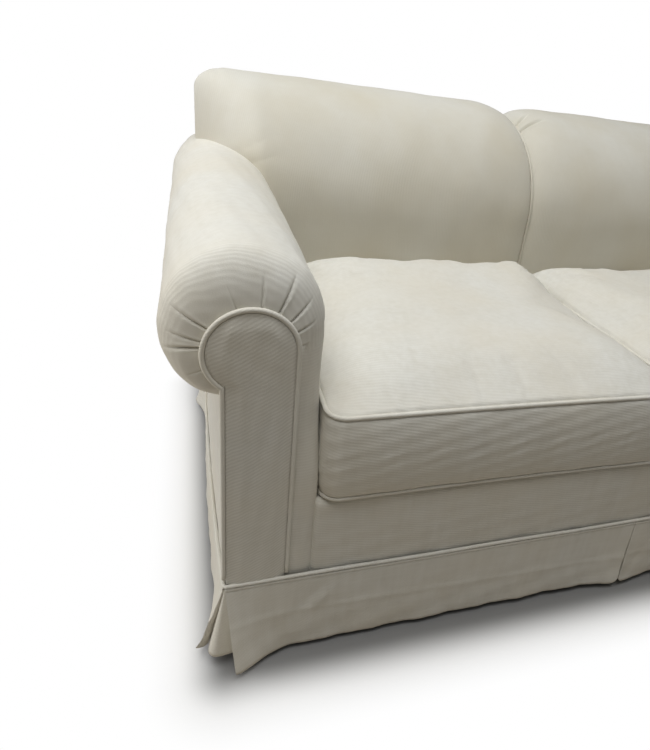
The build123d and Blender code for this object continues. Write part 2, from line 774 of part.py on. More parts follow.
def cushion_cover():
    levels = [
        (CUSHION_Z, 2 * CUSHION_LIP),
        (WELT_LOW, 0),
        (ZIP_Z, -BOXING_BULGE),
        (WELT_HIGH, 0),
    ]
    for share in (0.08, 0.25, 0.55, 1.0):
        levels.append((WELT_HIGH + CROWN * (1 - (1 - share) ** 2.2), CROWN_REACH * share))
    cover = Solid.make_loft([cushion_outline(z, inset) for z, inset in levels], ruled=True)
    grooves = [tube(path, WELT_R + FIT) for path in WELT_PATHS]
    recess = block(ZIP_X0, ZIP_X1, ZIP_FLOOR, FAR, ZIP_Z - ZIP_H / 2, ZIP_Z + ZIP_H / 2)
    return cover - [recess, block(*CORE_BOX), *grooves]


def cushion_core():
    x0, x1, y0, y1, z0, z1 = CORE_BOX
    core = block(x0 + FIT, x1 - FIT, y0 + FIT, y1 - FIT, z0 + FIT, z1 - FIT)
    return fillet(core.edges().filter_by(Axis.Z), CUSHION_CORNER / 2)


def cushion_welts():
    return [tube(path, WELT_R) for path in WELT_PATHS]


def zip_tape():
    """The tape on the floor of the recess, with the closed chain standing on it."""
    low, high = ZIP_Z - ZIP_H / 2 + FIT, ZIP_Z + ZIP_H / 2 - FIT
    tape = block(ZIP_X0 + FIT, ZIP_X1 - FIT, ZIP_FLOOR, ZIP_FLOOR + TAPE_T / 2, low, high)
    chain_half = ZIP_H / 8
    chain = block(
        ZIP_X0 + FIT,
        ZIP_X1 - FIT,
        ZIP_FLOOR + TAPE_T / 2,
        ZIP_FLOOR + TAPE_T,
        ZIP_Z - chain_half,
        ZIP_Z + chain_half,
    )
    return tape + chain


def zip_slider():
    """The slider at the closed end of the zip, on the side of the arm."""
    x1 = ZIP_X1 - 2 * FIT
    y0 = ZIP_FLOOR + TAPE_T + FIT
    return block(x1 - SLIDER_W, x1, y0, y0 + SLIDER_T, ZIP_Z - SLIDER_H / 2, ZIP_Z + SLIDER_H / 2)


# Skirt

def strip_edges(ends, offsets, reaches, inner, z):
    """One level of a skirt panel: an outer line with a kick at each end, and its inner line."""
    (s0, s1), (n0, n1), (r0, r1) = ends, offsets, reaches
    middle = SKIRT_FLARE if max(n0, n1) > 0 else 0.0

    def point(s, n):
        return (s, -n, z)

    def run(depth):
        a, b = s0 + r0, s1 - r1
        quarter0 = middle + (n0 - middle) / 4
        quarter1 = middle + (n1 - middle) / 4
        start = [point(s0, n0 + depth), point(s0 + r0 / 2, quarter0 + depth), point(a, middle + depth)]
        finish = [point(b, middle + depth), point(s1 - r1 / 2, quarter1 + depth), point(s1, n1 + depth)]
        return start, finish

    def bend(points):
        if max(n0, n1) == 0:
            return Line(points[0], points[2])
        return ThreePointArc(*points)

    start_o, finish_o = run(inner + SKIRT_T)
    start_i, finish_i = run(inner)
    return Wire(
        [
            bend(start_o),
            Line(start_o[2], finish_o[0]),
            bend(finish_o),
            Line(finish_o[2], finish_i[2]),
            bend(finish_i[::-1]),
            Line(finish_i[0], start_i[2]),
            bend(start_i[::-1]),
            Line(start_i[0], start_o[0]),
        ]
    )


def skirt_panel(s0, s1, kick0, kick1, open0, open1):
    """A panel along +X that faces -Y: straight at its top, kicked out at both ends of its hem."""
    reaches = (KICK_REACH, KICK_REACH)
    top = strip_edges((s0, s1), (0, 0), reaches, SKIRT_IN, SKIRT_TOP)
    hem = strip_edges((s0 + open0, s1 - open1), (kick0, kick1), reaches, SKIRT_IN, HEM)
    return Solid.make_loft([hem, top], ruled=True)


def half_panel():
    """From the centre pleat to the right corner."""
    corner = ARM_OUT + SKIRT_IN - 2 * FIT
    return skirt_panel(CENTRE_GAP / 2, corner, CENTRE_KICK, CORNER_KICK, CENTRE_GAP, PLEAT_OPEN)


def skirt_side():
    corner = SKIRT_IN - 2 * FIT
    panel = skirt_panel(-corner, BASE_REAR + corner, CORNER_KICK, CORNER_KICK, PLEAT_OPEN, PLEAT_OPEN)
    return Pos(ARM_OUT, 0, 0) * Rot(0, 0, 90) * panel


def corner_insert():
    """The folded piece behind the front right corner, seen from above as an L."""
    def level(flare, z):
        far_x, far_y = ARM_OUT - INSERT_REACH, INSERT_REACH
        inner, outer = FIT, FIT + SKIRT_T
        points = [
            (far_x, -inner),
            (far_x, -outer),
            (ARM_OUT + outer + flare, -outer - flare),
            (ARM_OUT + outer, far_y),
            (ARM_OUT + inner, far_y),
            (ARM_OUT + inner + flare, -inner - flare),
        ]
        return Wire.make_polygon([(x, y, z) for x, y in points], close=True)

    return Solid.make_loft([level(INSERT_FLARE, HEM + FIT), level(0, SKIRT_TOP)], ruled=True)


def to_rear(shape):
    """The same piece on the rear of the base, turned half round about the middle of the base."""
    return Pos(0, BASE_REAR, 0) * Rot(0, 0, 180) * shape


def corner_inserts():
    front = corner_insert()
    rear = to_rear(front)
    return [front, mirrored(front), rear, mirrored(rear)]


def centre_inserts():
    front = block(-INSERT_REACH, INSERT_REACH, -FIT - SKIRT_T, -FIT, HEM + FIT, SKIRT_TOP)
    return [front, to_rear(front)]


def skirt_welt():
    """The cord that runs right round the base on top of the skirt."""
    z = SKIRT_TOP + WELT_R + FIT / 2
    out = FIT + WELT_R
    rear = rear_y(z) + out / math.cos(math.radians(BACK_RAKE))
    x = ARM_OUT + out
    r = 1.2 * WELT_R
    points = [(x, -out, z), (x, rear, z), (-x, rear, z), (-x, -out, z)]
    return tube(FilletPolyline(*points, radius=r, close=True), WELT_R)


def pieces():
    """Every node of the loveseat, by name."""
    arm = arm_pad(back_envelope())
    back = back_pad()
    front_skirt = half_panel()
    side_skirt = skirt_side()
    cover, core, welts = cushion_cover(), cushion_core(), cushion_welts()
    blocks = corner_blocks()
    blocks = blocks + [mirrored(one) for one in blocks]
    right = {
        "side_rail": side_rail(),
        "front_post": front_post(),
        "back_post": back_post(),
        "arm_pad": arm,
        "arm_facing": facing(),
        "outside_arm": outside_arm(),
        "back_pad": back,
        "skirt_front": front_skirt,
        "skirt_side": side_skirt,
        "seat_cover": cover,
        "seat_core": core,
        "seat_zip": zip_tape(),
        "zip_slider": zip_slider(),
    }
    nodes = {}
    for name, shape in right.items():
        nodes[name + "_right"] = shape
        nodes[name + "_left"] = mirrored(shape)
    nodes["seat_welts_right"] = welts
    nodes["seat_welts_left"] = [mirrored(one) for one in welts]
    rear_skirt = to_rear(front_skirt)
    nodes["skirt_rear_left"] = rear_skirt
    nodes["skirt_rear_right"] = mirrored(rear_skirt)
    for name, shape in (
        ("arm_boards", arm_board()),
        ("rear_arm_posts", rear_arm_post()),
        ("arm_tack_rails", tack_rail()),
        ("facing_welts", facing_welt()),
    ):
        nodes[name] = [shape, mirrored(shape)]
    nodes["legs"] = legs()
    nodes["leg_glides"] = glides()
    nodes["leg_bolts"] = leg_bolts(0)
    nodes["corner_blocks"] = [one - SCREW_HOLES - BOLT_HOLES for one in blocks]
    nodes["block_screws"] = block_screws(0, SCREW_HEAD_T)
    nodes["frame_dowels"] = dowels(0)
    nodes["front_rail"] = front_rail()
    nodes["centre_stretcher"] = stretcher()
    nodes["rear_rail"] = back_rail(RAIL_BOTTOM, RAIL_TOP)
    nodes["back_mid_rail"] = back_rail(MID_RAIL_Z, MID_RAIL_Z + MID_RAIL_H)
    nodes["back_top_rail"] = back_rail(TOP_RAIL_Z, POST_TOP)
    nodes["back_upright"] = raked_bar(MID_RAIL_Z + MID_RAIL_H, TOP_RAIL_Z, -UPRIGHT_W / 2, UPRIGHT_W / 2)
    nodes["back_webbing"] = webbing()
    first = spring(SPRING_PLACES[0])
    nodes["seat_springs"] = [Pos(x - SPRING_PLACES[0], 0, 0) * first for x in SPRING_PLACES]
    nodes["spring_clips"] = spring_clips()
    nodes["deck_pad"] = deck_pad()
    nodes["deck_cloth"] = deck_cloth()
    nodes["front_border"] = front_border()
    nodes["dust_cover"] = dust_cover()
    nodes["back_seam_welt"] = seam_welt()
    nodes["outside_back"] = outside_back()
    nodes["skirt_corner_inserts"] = corner_inserts()
    nodes["skirt_centre_inserts"] = centre_inserts()
    nodes["skirt_welt"] = skirt_welt()
    return nodes


def write(nodes):
    os.makedirs("parts", exist_ok=True)
    move = Pos(0, -Y_MID, 0)
    for name, shape in nodes.items():
        group = shape if isinstance(shape, list) else [shape]
        solids = [solid for one in group for solid in (move * one).solids()]
        whole = solids[0] if len(solids) == 1 else Compound(children=solids)
        export_step(whole, f"parts/{name}.step")


write(pieces())
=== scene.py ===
import json
import math

import bpy
import numpy as np
from mathutils import Matrix, Vector
from mathutils.kdtree import KDTree


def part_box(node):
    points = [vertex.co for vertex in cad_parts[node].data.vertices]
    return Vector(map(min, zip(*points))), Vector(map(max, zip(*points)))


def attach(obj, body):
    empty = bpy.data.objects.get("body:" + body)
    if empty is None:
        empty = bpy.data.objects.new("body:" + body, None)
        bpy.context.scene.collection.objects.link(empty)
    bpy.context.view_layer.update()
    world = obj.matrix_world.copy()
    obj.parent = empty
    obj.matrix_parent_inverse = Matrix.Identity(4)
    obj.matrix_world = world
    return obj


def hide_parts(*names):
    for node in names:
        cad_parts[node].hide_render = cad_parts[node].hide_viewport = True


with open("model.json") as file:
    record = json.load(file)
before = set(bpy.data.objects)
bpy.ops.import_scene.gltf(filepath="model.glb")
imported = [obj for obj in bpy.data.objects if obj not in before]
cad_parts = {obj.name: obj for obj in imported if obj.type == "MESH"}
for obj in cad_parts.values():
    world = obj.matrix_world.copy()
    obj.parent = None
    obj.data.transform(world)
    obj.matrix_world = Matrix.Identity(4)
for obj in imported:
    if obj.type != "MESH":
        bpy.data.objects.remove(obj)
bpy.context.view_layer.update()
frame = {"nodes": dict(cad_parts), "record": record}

# Places taken from the frame, in metres. Right-hand pieces are made and mirrored for the left.
ARM_LOW, ARM_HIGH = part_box("arm_pad_right")
FACING_LOW, FACING_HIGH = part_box("arm_facing_right")
BACK_LOW, BACK_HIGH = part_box("back_pad_right")
COVER_LOW, COVER_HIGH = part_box("seat_cover_right")
WELTS_LOW, WELTS_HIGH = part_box("seat_welts_right")
PANEL_LOW, PANEL_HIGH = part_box("outside_arm_right")
OUTBACK_LOW, OUTBACK_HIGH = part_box("outside_back")
SKIRT_LOW, SKIRT_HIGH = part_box("skirt_front_right")
BORDER_LOW, BORDER_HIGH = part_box("front_border")
DECK_LOW, DECK_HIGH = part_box("deck_cloth")
DUST_LOW, DUST_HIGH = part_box("dust_cover")
SIDE_SKIRT_LOW, SIDE_SKIRT_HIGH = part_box("skirt_side_right")
ZIP_LOW, ZIP_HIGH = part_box("seat_zip_right")
SLIDER_LOW, SLIDER_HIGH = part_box("zip_slider_right")

FRONT = FACING_LOW.y
SEAT_HALF = ARM_LOW.x
ARM_OUT = PANEL_HIGH.x
ROLL_R = (ARM_HIGH.x - SEAT_HALF) / 2
ROLL_X = SEAT_HALF + ROLL_R
FACING_HALF = (FACING_HIGH.x - FACING_LOW.x) / 2
SCROLL_X = FACING_LOW.x + FACING_HALF
SCROLL_Z = FACING_HIGH.z - FACING_HALF
SCROLL_R = FACING_HALF - 0.0045
FACING_IN = SCROLL_X - SCROLL_R
RAIL_BOTTOM = FACING_LOW.z
SKIRT_TOP = SKIRT_HIGH.z
HEM = SKIRT_LOW.z
DECK = BACK_LOW.z
BACK_FRONT = BACK_LOW.y
BACK_REAR = BACK_HIGH.y
BACK_TOP = BACK_HIGH.z
BACK_HALF = BACK_HIGH.x

# Sizes that the boxes don't give
WELT_R = 0.0032
ROLL_DROP = 0.019            # centre of the facing's scroll below the roll's centre
ROLL_CLIMB = 0.032           # rise of the roll from front to back
FRONT_ROUND = 0.048          # depth of the gathered rounding
STRIP_SHARE = 0.14           # share of that depth beside the lower part of a facing
FACING_T = FACING_HIGH.y - FRONT
BACK_TOP_R = 0.050
BACK_ROUND = BACK_REAR - BACK_FRONT - BACK_TOP_R
BACK_END_R = 0.044           # drop of the top at an outer end of the back
BACK_END_DEPTH = 0.205       # how far the front turns back there
BACK_END_W = 0.128
SEAM_DIP = 0.016             # depth of the centre seam in the front
SEAM_DROP = 0.035            # fall of the top into it
SEAM_REACH = 0.058
SEAM_WIDE = 0.105
RAKE = math.tan(math.radians(11.3))
BACK_DEPTH = BACK_REAR - FRONT
ROLL_Z = SCROLL_Z + ROLL_DROP
PANEL_T = 0.005
NOTCH = 0.578                # the back is notched round the arms below this height
TOP_RAIL = OUTBACK_HIGH.z
SKIRT_T = 0.0022
SKIRT_FLARE = 0.002
CORNER_KICK = 0.038
REAR_KICK = 0.030
CENTRE_KICK = 0.013
KICK_REACH = 0.110
PLEAT_OPEN = 0.013
SIDE_BOW = 0.012             # fullness of the sides between front and back
FIT = 0.0003


def rear_y(z):
    """Face of the raked outside back at height z."""
    return BACK_REAR - (BACK_TOP - BACK_TOP_R - z) * RAKE


def roll_z(y):
    """Height of a roll's centre, which climbs to the back."""
    return ROLL_Z + ROLL_CLIMB * (y - FRONT) / BACK_DEPTH


def side_bow(y):
    """How far a side stands out between its front and its back."""
    return SIDE_BOW * np.sin(math.pi * np.clip((y - FRONT) / BACK_DEPTH, 0, 1)) ** 0.8


def ripple(a, b, seed=0.0):
    """Smooth unevenness of a hand-stuffed surface, about -1 to 1."""
    return (
        0.5 * np.sin(7.3 * a + 3.1 * b + 1.7 * seed)
        + 0.3 * np.sin(-4.1 * a + 11.9 * b + 2.9 * seed + 1.3)
        + 0.2 * np.sin(17.7 * a + 8.3 * b + 0.7 * seed + 4.1)
    )


def bump(x, width):
    """A round hill of height 1 at 0."""
    return np.exp(-((x / width) ** 2))


def crease(x, width):
    """A sharp fold at 0 with a soft swell on each side."""
    valley = np.exp(-np.abs(x) / width)
    return -valley + 0.16 * bump(x - 2.6 * width, 1.8 * width) + 0.08 * bump(x + 2.6 * width, 1.8 * width)


def ease(x):
    """A smooth step from 0 to 1."""
    x = np.clip(x, 0.0, 1.0)
    return x * x * (3 - 2 * x)


# Meshes

def add_mesh(name, verts, faces, material, body="base"):
    mesh = bpy.data.meshes.new(name)
    mesh.from_pydata([tuple(v) for v in verts], [], [tuple(int(i) for i in f) for f in faces])
    mesh.validate()
    mesh.update()
    mesh.polygons.foreach_set("use_smooth", [True] * len(mesh.polygons))
    obj = bpy.data.objects.new(name, mesh)
    bpy.context.scene.collection.objects.link(obj)
    mesh.materials.append(material)
    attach(obj, body)
    return obj


def grid_quads(rows, cols, wrap=False):
    quads = []
    last = cols if wrap else cols - 1
    for i in range(rows - 1):
        for j in range(last):
            k = (j + 1) % cols
            quads.append((i * cols + j, i * cols + k, (i + 1) * cols + k, (i + 1) * cols + j))
    return quads


def flipped(faces):
    return [tuple(reversed(f)) for f in faces]


def mirror_x(verts):
    out = np.array(verts, float).copy()
    out[:, 0] *= -1
    return out


def slab(front, back):
    """A closed sheet from two grids of points of the same shape (rows, cols, 3)."""
    rows, cols = front.shape[:2]
    verts = np.concatenate([front.reshape(-1, 3), back.reshape(-1, 3)])
    shift = rows * cols
    quads = grid_quads(rows, cols)
    faces = list(quads) + [tuple(i + shift for i in reversed(f)) for f in quads]
    rim = list(range(cols))
    rim += [i * cols + cols - 1 for i in range(1, rows)]
    rim += [(rows - 1) * cols + j for j in range(cols - 2, -1, -1)]
    rim += [i * cols for i in range(rows - 2, 0, -1)]
    for a, b in zip(rim, rim[1:] + rim[:1]):
        faces.append((b, a, a + shift, b + shift))
    return verts, faces


def loop_loft(loops):
    """A closed form through loops of points of the same count, capped at both ends."""
    loops = np.array(loops)
    rows, cols = loops.shape[:2]
    faces = grid_quads(rows, cols, wrap=True)
    faces.append(tuple(reversed(range(cols))))
    faces.append(tuple((rows - 1) * cols + j for j in range(cols)))
    return loops.reshape(-1, 3), faces


def tube(points, radius, closed=False, sides=12):
    """A round cord along points."""
    p = np.array(points, float)
    count = len(p)
    ahead = np.roll(p, -1, axis=0) - p
    behind = p - np.roll(p, 1, axis=0)
    if not closed:
        ahead[-1] = behind[-1]
        behind[0] = ahead[0]
    ahead /= np.linalg.norm(ahead, axis=1)[:, None]
    behind /= np.linalg.norm(behind, axis=1)[:, None]
    tangent = ahead + behind
    tangent /= np.linalg.norm(tangent, axis=1)[:, None]
    normal = np.cross(tangent[0], (0.31, 0.77, 0.55))
    loops = []
    angles = np.linspace(0, 2 * math.pi, sides, endpoint=False)
    for i in range(count):
        normal = normal - tangent[i] * np.dot(normal, tangent[i])
        normal /= np.linalg.norm(normal)
        other = np.cross(tangent[i], normal)
        loops.append(p[i] + radius * (np.cos(angles)[:, None] * normal + np.sin(angles)[:, None] * other))
    if not closed:
        return loop_loft(loops)
    faces = grid_quads(count, sides, wrap=True)
    last = (count - 1) * sides
    best = min(range(sides), key=lambda k: np.linalg.norm(loops[-1][0] - loops[0][k]))
    for j in range(sides):
        k = (j + 1) % sides
        faces.append((last + j, last + k, (k + best) % sides, (j + best) % sides))
    return np.concatenate(loops), faces


def handed(side, verts, faces):
    """A right-hand form as it is, or its mirror image for the left."""
    return (verts, faces) if side == "right" else (mirror_x(verts), flipped(faces))


# Hiding the CAD nodes that the pieces replace

def as_pad(obj, node):
    """Hide the CAD node that a stuffed piece of the cover replaces."""
    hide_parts(node)


def as_cord(obj, node):
    """Hide the CAD node that a welt sewn into a seam replaces."""
    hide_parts(node)


def as_skirt(obj, node):
    """Hide the CAD node that a length of cloth hanging from the skirt's top cord replaces."""
    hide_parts(node)


def both_pads(name, verts, faces, material, node, fill):
    """The right-hand pad and its mirror image, each standing for its own CAD node."""
    made = []
    for side in ("right", "left"):
        obj = add_mesh(f"{name}_{side}", *handed(side, verts, faces), material)
        as_pad(obj, f"{node}_{side}")
        made.append(obj)
    return made


# Materials

def add_node(tree, kind, inputs, **settings):
    """A shader node; each input is a plain value or another node's output."""
    node = tree.nodes.new("ShaderNode" + kind)
    for name, value in settings.items():
        setattr(node, name, value)
    for key, value in inputs.items():
        if isinstance(value, bpy.types.NodeSocket):
            tree.links.new(value, node.inputs[key])
        else:
            node.inputs[key].default_value = value
    return node


def new_material(name):
    mat = bpy.data.materials.new(name)
    mat.use_nodes = True
    return mat, mat.node_tree, mat.node_tree.nodes["Principled BSDF"]


def object_coords(tree):
    return add_node(tree, "TexCoord", {}).outputs["Object"]


def noise(tree, scale, detail):
    place = add_node(tree, "Mapping", {"Vector": object_coords(tree), "Scale": scale})
    grain = {"Vector": place.outputs["Vector"], "Scale": 1.0, "Detail": detail}
    return add_node(tree, "TexNoise", grain).outputs["Fac"]


def ribs(tree, across, pitch):
    """Even ribs that follow one another in the direction across, 0 to 1."""
    along = Vector(across).normalized() * (2 * math.pi / pitch)
    place = add_node(tree, "VectorMath", {0: object_coords(tree), 1: along}, operation="DOT_PRODUCT")
    phase = {0: noise(tree, (38, 38, 38), 2.0), 1: 5.0, 2: place.outputs["Value"]}
    wobble = add_node(tree, "Math", phase, operation="MULTIPLY_ADD")
    wave = add_node(tree, "Math", {0: wobble.outputs[0]}, operation="SINE")
    return add_node(tree, "MapRange", {"Value": wave.outputs[0], "From Min": -1.0}).outputs["Result"]


def span(tree, value, low, high):
    """A value of 0 to 1 spread from low to high."""
    return add_node(tree, "MapRange", {"Value": value, "To Min": low, "To Max": high}).outputs["Result"]


def smooth_step(tree, value, start, full, most=1.0):
    """A smooth rise from 0 at start to most at full."""
    inputs = {"Value": value, "From Min": start, "From Max": full, "To Max": most}
    return add_node(tree, "MapRange", inputs, interpolation_type="SMOOTHSTEP").outputs["Result"]


def mixed(tree, share, first, second):
    """A colour between two, each a plain colour or another node's output."""
    ends = [(*value, 1.0) if isinstance(value, tuple) else value for value in (first, second)]
    inputs = {"Factor": share, 6: ends[0], 7: ends[1]}
    return add_node(tree, "Mix", inputs, data_type="RGBA").outputs[2]


def relief(tree, shader, height, strength, distance):
    bumps = add_node(tree, "Bump", {"Height": height, "Strength": strength, "Distance": distance})
    tree.links.new(bumps.outputs["Normal"], shader.inputs["Normal"])


def fabric(name, light, dark, stain_and_shade, across, pitch=0.0046, contrast=0.30, painted_shade_by_height=None):
    """Twill with ribs, slubs and yellowed patches; the last argument is (start, full, share) of painted
    shade by height, in the stain colour.
    """
    mat, tree, shader = new_material(name)
    ridges = ribs(tree, across, pitch)
    deep = tuple(0.72 * value for value in dark)
    slubs = noise(tree, (90, 90, 11), 4.0)
    cross = noise(tree, (14, 14, 160), 3.0)
    patches = noise(tree, (5.5, 5.5, 4.5), 4.0)
    threads = noise(tree, (900, 900, 900), 2.0)
    base = mixed(tree, span(tree, slubs, -0.25, 1.1), dark, light)
    base = mixed(tree, span(tree, cross, -0.35, 0.75), base, light)
    base = mixed(tree, span(tree, ridges, contrast, 0.0), base, deep)
    base = mixed(tree, span(tree, patches, -0.55, 0.95), base, stain_and_shade)
    if painted_shade_by_height:
        # Painted shade: the stain colour mixed in by height.
        height = add_node(tree, "SeparateXYZ", {0: object_coords(tree)}).outputs["Z"]
        base = mixed(tree, smooth_step(tree, height, *painted_shade_by_height), base, stain_and_shade)
    tree.links.new(base, shader.inputs["Base Color"])
    tree.links.new(span(tree, slubs, 0.82, 0.95), shader.inputs["Roughness"])
    weave = add_node(tree, "Math", {0: ridges, 1: 0.6, 2: threads}, operation="MULTIPLY_ADD")
    relief(tree, shader, weave.outputs[0], 0.35, 0.0006)
    shader.inputs["Specular IOR Level"].default_value = 0.25
    shader.inputs["Sheen Weight"].default_value = 0.12
    shader.inputs["Sheen Roughness"].default_value = 0.5
    return mat


def grained(name, light, dark, stretch, rough, metallic=0.0):
    """Wood, metal or plastic with a fine grain along its length."""
    mat, tree, shader = new_material(name)
    grain = noise(tree, stretch, 6.0)
    tree.links.new(mixed(tree, grain, dark, light), shader.inputs["Base Color"])
    tree.links.new(span(tree, grain, rough, min(1.0, rough + 0.2)), shader.inputs["Roughness"])
    relief(tree, shader, grain, 0.25, 0.0008)
    shader.inputs["Metallic"].default_value = metallic
    return mat


CREAM = (0.78, 0.775, 0.735)
SHADE = (0.66, 0.645, 0.585)
STAIN = (0.70, 0.65, 0.54)
# Painted shade: the back's cream is a darker copy of the cover's cream, standing in for the lesser light
# that reaches the back.
BACK_CREAM_SHADED = (0.69, 0.68, 0.625)
# The back's stain colour serves both its stains and, lower down, its painted shade.
BACK_STAIN_AND_SHADE = (0.56, 0.51, 0.39)
# Painted shade: from the first height down to the second the back's stain colour is mixed in, up to the
# given share, so the back darkens towards the bottom.
BACK_PAINTED_SHADE_BY_HEIGHT = (0.79, 0.57, 0.42)
# Directions across the ribs of the twill
RISING = (-0.50, 0.0, 0.87)
FALLING = (0.20, 0.10, 0.97)
ROUND_ROLL = (0.12, 0.99, 0.10)
COVER = fabric("cover_twill", CREAM, SHADE, STAIN, RISING, contrast=0.14)
SEAT = fabric("seat_twill", CREAM, SHADE, STAIN, (0.15, 0.98, 0.0), contrast=0.12)
BACK = fabric("back_twill", BACK_CREAM_SHADED, SHADE, BACK_STAIN_AND_SHADE, (0.97, 0.0, 0.15), 0.0036, 0.14, BACK_PAINTED_SHADE_BY_HEIGHT)
ROLL = fabric("roll_twill", CREAM, SHADE, STAIN, ROUND_ROLL, contrast=0.20)
STRIP = fabric("inner_arm_twill", CREAM, SHADE, STAIN, (0.0, 0.12, 0.99), contrast=0.20)
FACING = fabric("facing_twill", CREAM, SHADE, STAIN, RISING, contrast=0.42)
BOXING = fabric("boxing_twill", CREAM, SHADE, STAIN, FALLING, contrast=0.26)
WELT = fabric("welt_twill", (0.79, 0.78, 0.73), SHADE, STAIN, RISING, pitch=0.0028, contrast=0.06)
DECK_CLOTH = fabric("deck_cloth", (0.58, 0.55, 0.46), SHADE, STAIN, FALLING, pitch=0.003)
DUST = fabric("dust_cloth", (0.02, 0.02, 0.022), (0.012, 0.012, 0.013), (0.03, 0.03, 0.03), FALLING)
WOOD = grained("frame_hardwood", (0.42, 0.28, 0.15), (0.24, 0.14, 0.07), (60, 6, 60), 0.55)
LEG_WOOD = grained("leg_hardwood", (0.10, 0.05, 0.025), (0.035, 0.018, 0.01), (60, 60, 7), 0.35)
STEEL = grained("plated_steel", (0.55, 0.55, 0.57), (0.35, 0.35, 0.37), (80, 80, 80), 0.3, 1.0)
PLASTIC = grained("moulded_plastic", (0.03, 0.028, 0.026), (0.018, 0.016, 0.015), (300, 300, 300), 0.5)
FOAM = grained("open_cell_foam", (0.72, 0.64, 0.36), (0.60, 0.52, 0.28), (500, 500, 500), 0.9)
JUTE = fabric("jute_webbing", (0.36, 0.26, 0.14), (0.22, 0.15, 0.08), (0.30, 0.20, 0.10), FALLING, 0.003)
TAPE = fabric("zip_tape", (0.62, 0.59, 0.50), SHADE, STAIN, FALLING, 0.002)


def dress_frame():
    """Finishes for the rigid pieces that stay as they are."""
    finishes = {
        "frame_wood": WOOD,
        "leg_wood": LEG_WOOD,
        "steel": STEEL,
        "glide": PLASTIC,
        "foam": FOAM,
        "webbing": JUTE,
        "zip_tape": TAPE,
    }
    for part in frame["record"]["subparts"]:
        finish = finishes.get(part["material_slot"])
        if finish:
            data = frame["nodes"][part["node"]].data
            data.materials.clear()
            data.materials.append(finish)


# Seat cushions

CUSHION_X = (WELTS_LOW.x + WELT_R, WELTS_HIGH.x - WELT_R)
CUSHION_Y = (WELTS_LOW.y + WELT_R, WELTS_HIGH.y - WELT_R)
LOW_WELT = WELTS_LOW.z + WELT_R
HIGH_WELT = WELTS_HIGH.z - WELT_R
CROWN = COVER_HIGH.z - HIGH_WELT
CORNER = 0.026
DRAW = 0.0025
RING = 560
ZIP_X = (min(ZIP_LOW.x, SLIDER_LOW.x) - FIT, max(ZIP_HIGH.x, SLIDER_HIGH.x) + FIT)
ZIP_Z = (min(ZIP_LOW.z, SLIDER_LOW.z) - FIT, max(ZIP_HIGH.z, SLIDER_HIGH.z) + FIT)
ZIP_FLOOR = ZIP_LOW.y - FIT
CROWN_FULL = 0.004           # fullness of the crown above the CAD's
CLOTH_CAP = 0.008            # farthest that the cloth carries a point
CLOTH_FADE = 0.045           # width beside the cords over which it carries less
CLOTH_VOXEL = 0.007
CLOTH_PRESSURE = 4.0
CLOTH_GROWTH = 0.008         # share by which the cloth is larger than the form
CLOTH_FRAMES = 20
FRONT_SWELL = 0.0065         # fullness of the boxing in front
REAR_SWELL = {"left": 0.016, "right": 0.005}


def rounded_ring(x0, x1, y0, y1, radius, draw):
    """Points round a rectangle with round corners, its sides drawn in by a little."""
    cx, cy = (x0 + x1) / 2, (y0 + y1) / 2
    hx, hy = (x1 - x0) / 2, (y1 - y0) / 2
    straight_x, straight_y = 2 * (hx - radius), 2 * (hy - radius)
    quarter = radius * math.pi / 2
    lengths = [straight_x, quarter, straight_y, quarter] * 2
    total = sum(lengths)
    points = []
    for k in range(RING):
        s = total * k / RING
        side = 0
        while s > lengths[side]:
            s -= lengths[side]
            side += 1
        turn = (side // 2) * math.pi / 2
        first = side % 4 in (0, 1)
        half_w, half_h = (hx, hy) if first else (hy, hx)
        if side % 2 == 0:
            u = s / lengths[side]
            p = (-half_w + radius + s, -half_h + draw * 4 * u * (1 - u))
        else:
            a = s / radius
            p = (half_w - radius + radius * math.sin(a), -half_h + radius - radius * math.cos(a))
        points.append((
            cx + p[0] * math.cos(turn) - p[1] * math.sin(turn),
            cy + p[0] * math.sin(turn) + p[1] * math.cos(turn),
        ))
    return np.array(points)


def boxing_share(z):
    """Fullness of the boxing between its two cords, 0 to 1."""
    u = (z - LOW_WELT) / (HIGH_WELT - LOW_WELT)
    return max(0.0, 4 * u * (1 - u)) ** 0.7


def cushion_levels():
    """(height, inset) of the rings from the middle of the bottom to the middle of the top."""
    bottom = COVER_LOW.z
    levels = [(bottom, 0.20), (bottom, 0.10), (bottom, 0.03), (bottom + 0.0005, 0.010)]
    levels += [(LOW_WELT - 0.0015, 0.0028), (LOW_WELT, 0.0018), (LOW_WELT + 0.0026, 0.0002)]
    heights = list(LOW_WELT + np.linspace(0.04, 0.96, 19) * (HIGH_WELT - LOW_WELT))
    heights += [ZIP_Z[0] - 0.001, ZIP_Z[0], ZIP_Z[1], ZIP_Z[1] + 0.001]
    levels += [(z, -0.0045 * boxing_share(z)) for z in sorted(heights)]
    levels += [(HIGH_WELT - 0.0026, 0.0002), (HIGH_WELT, 0.0018), (HIGH_WELT + 0.0022, 0.0030)]
    for c in (0.008, 0.014, 0.022, 0.032, 0.044, 0.058, 0.075, 0.095, 0.12, 0.15, 0.185, 0.225, 0.262):
        levels.append((HIGH_WELT + 0.0022, c))
    return levels


def crown_height(ring, swell):
    """Rise of the cushion's top, slow from the front and the sides and quick at the back."""
    x0, x1 = CUSHION_X
    y0, y1 = CUSHION_Y
    inner, outer = ring[:, 0] - x0, x1 - ring[:, 0]
    front, rear = ring[:, 1] - y0, y1 - ring[:, 1]
    sides = np.minimum(inner * (1 + 1.1 * ease((0.30 - rear) / 0.22)), outer)
    rise = 1.0
    for away, reach in ((sides, 0.13), (front, 0.19), (rear, 0.060)):
        rise = rise * (1 - (1 - np.clip(away / reach, 0, 1)) ** 2.6)
    full = swell * bump(rear - 0.085, 0.095) * ease(sides / 0.10) * ease(rear / 0.05)
    tuck = crease((outer + front - 0.056) / 1.4, 0.0035) * bump(outer - front + 0.008, 0.028)
    return (CROWN + CROWN_FULL) * rise + full + 0.0045 * tuck


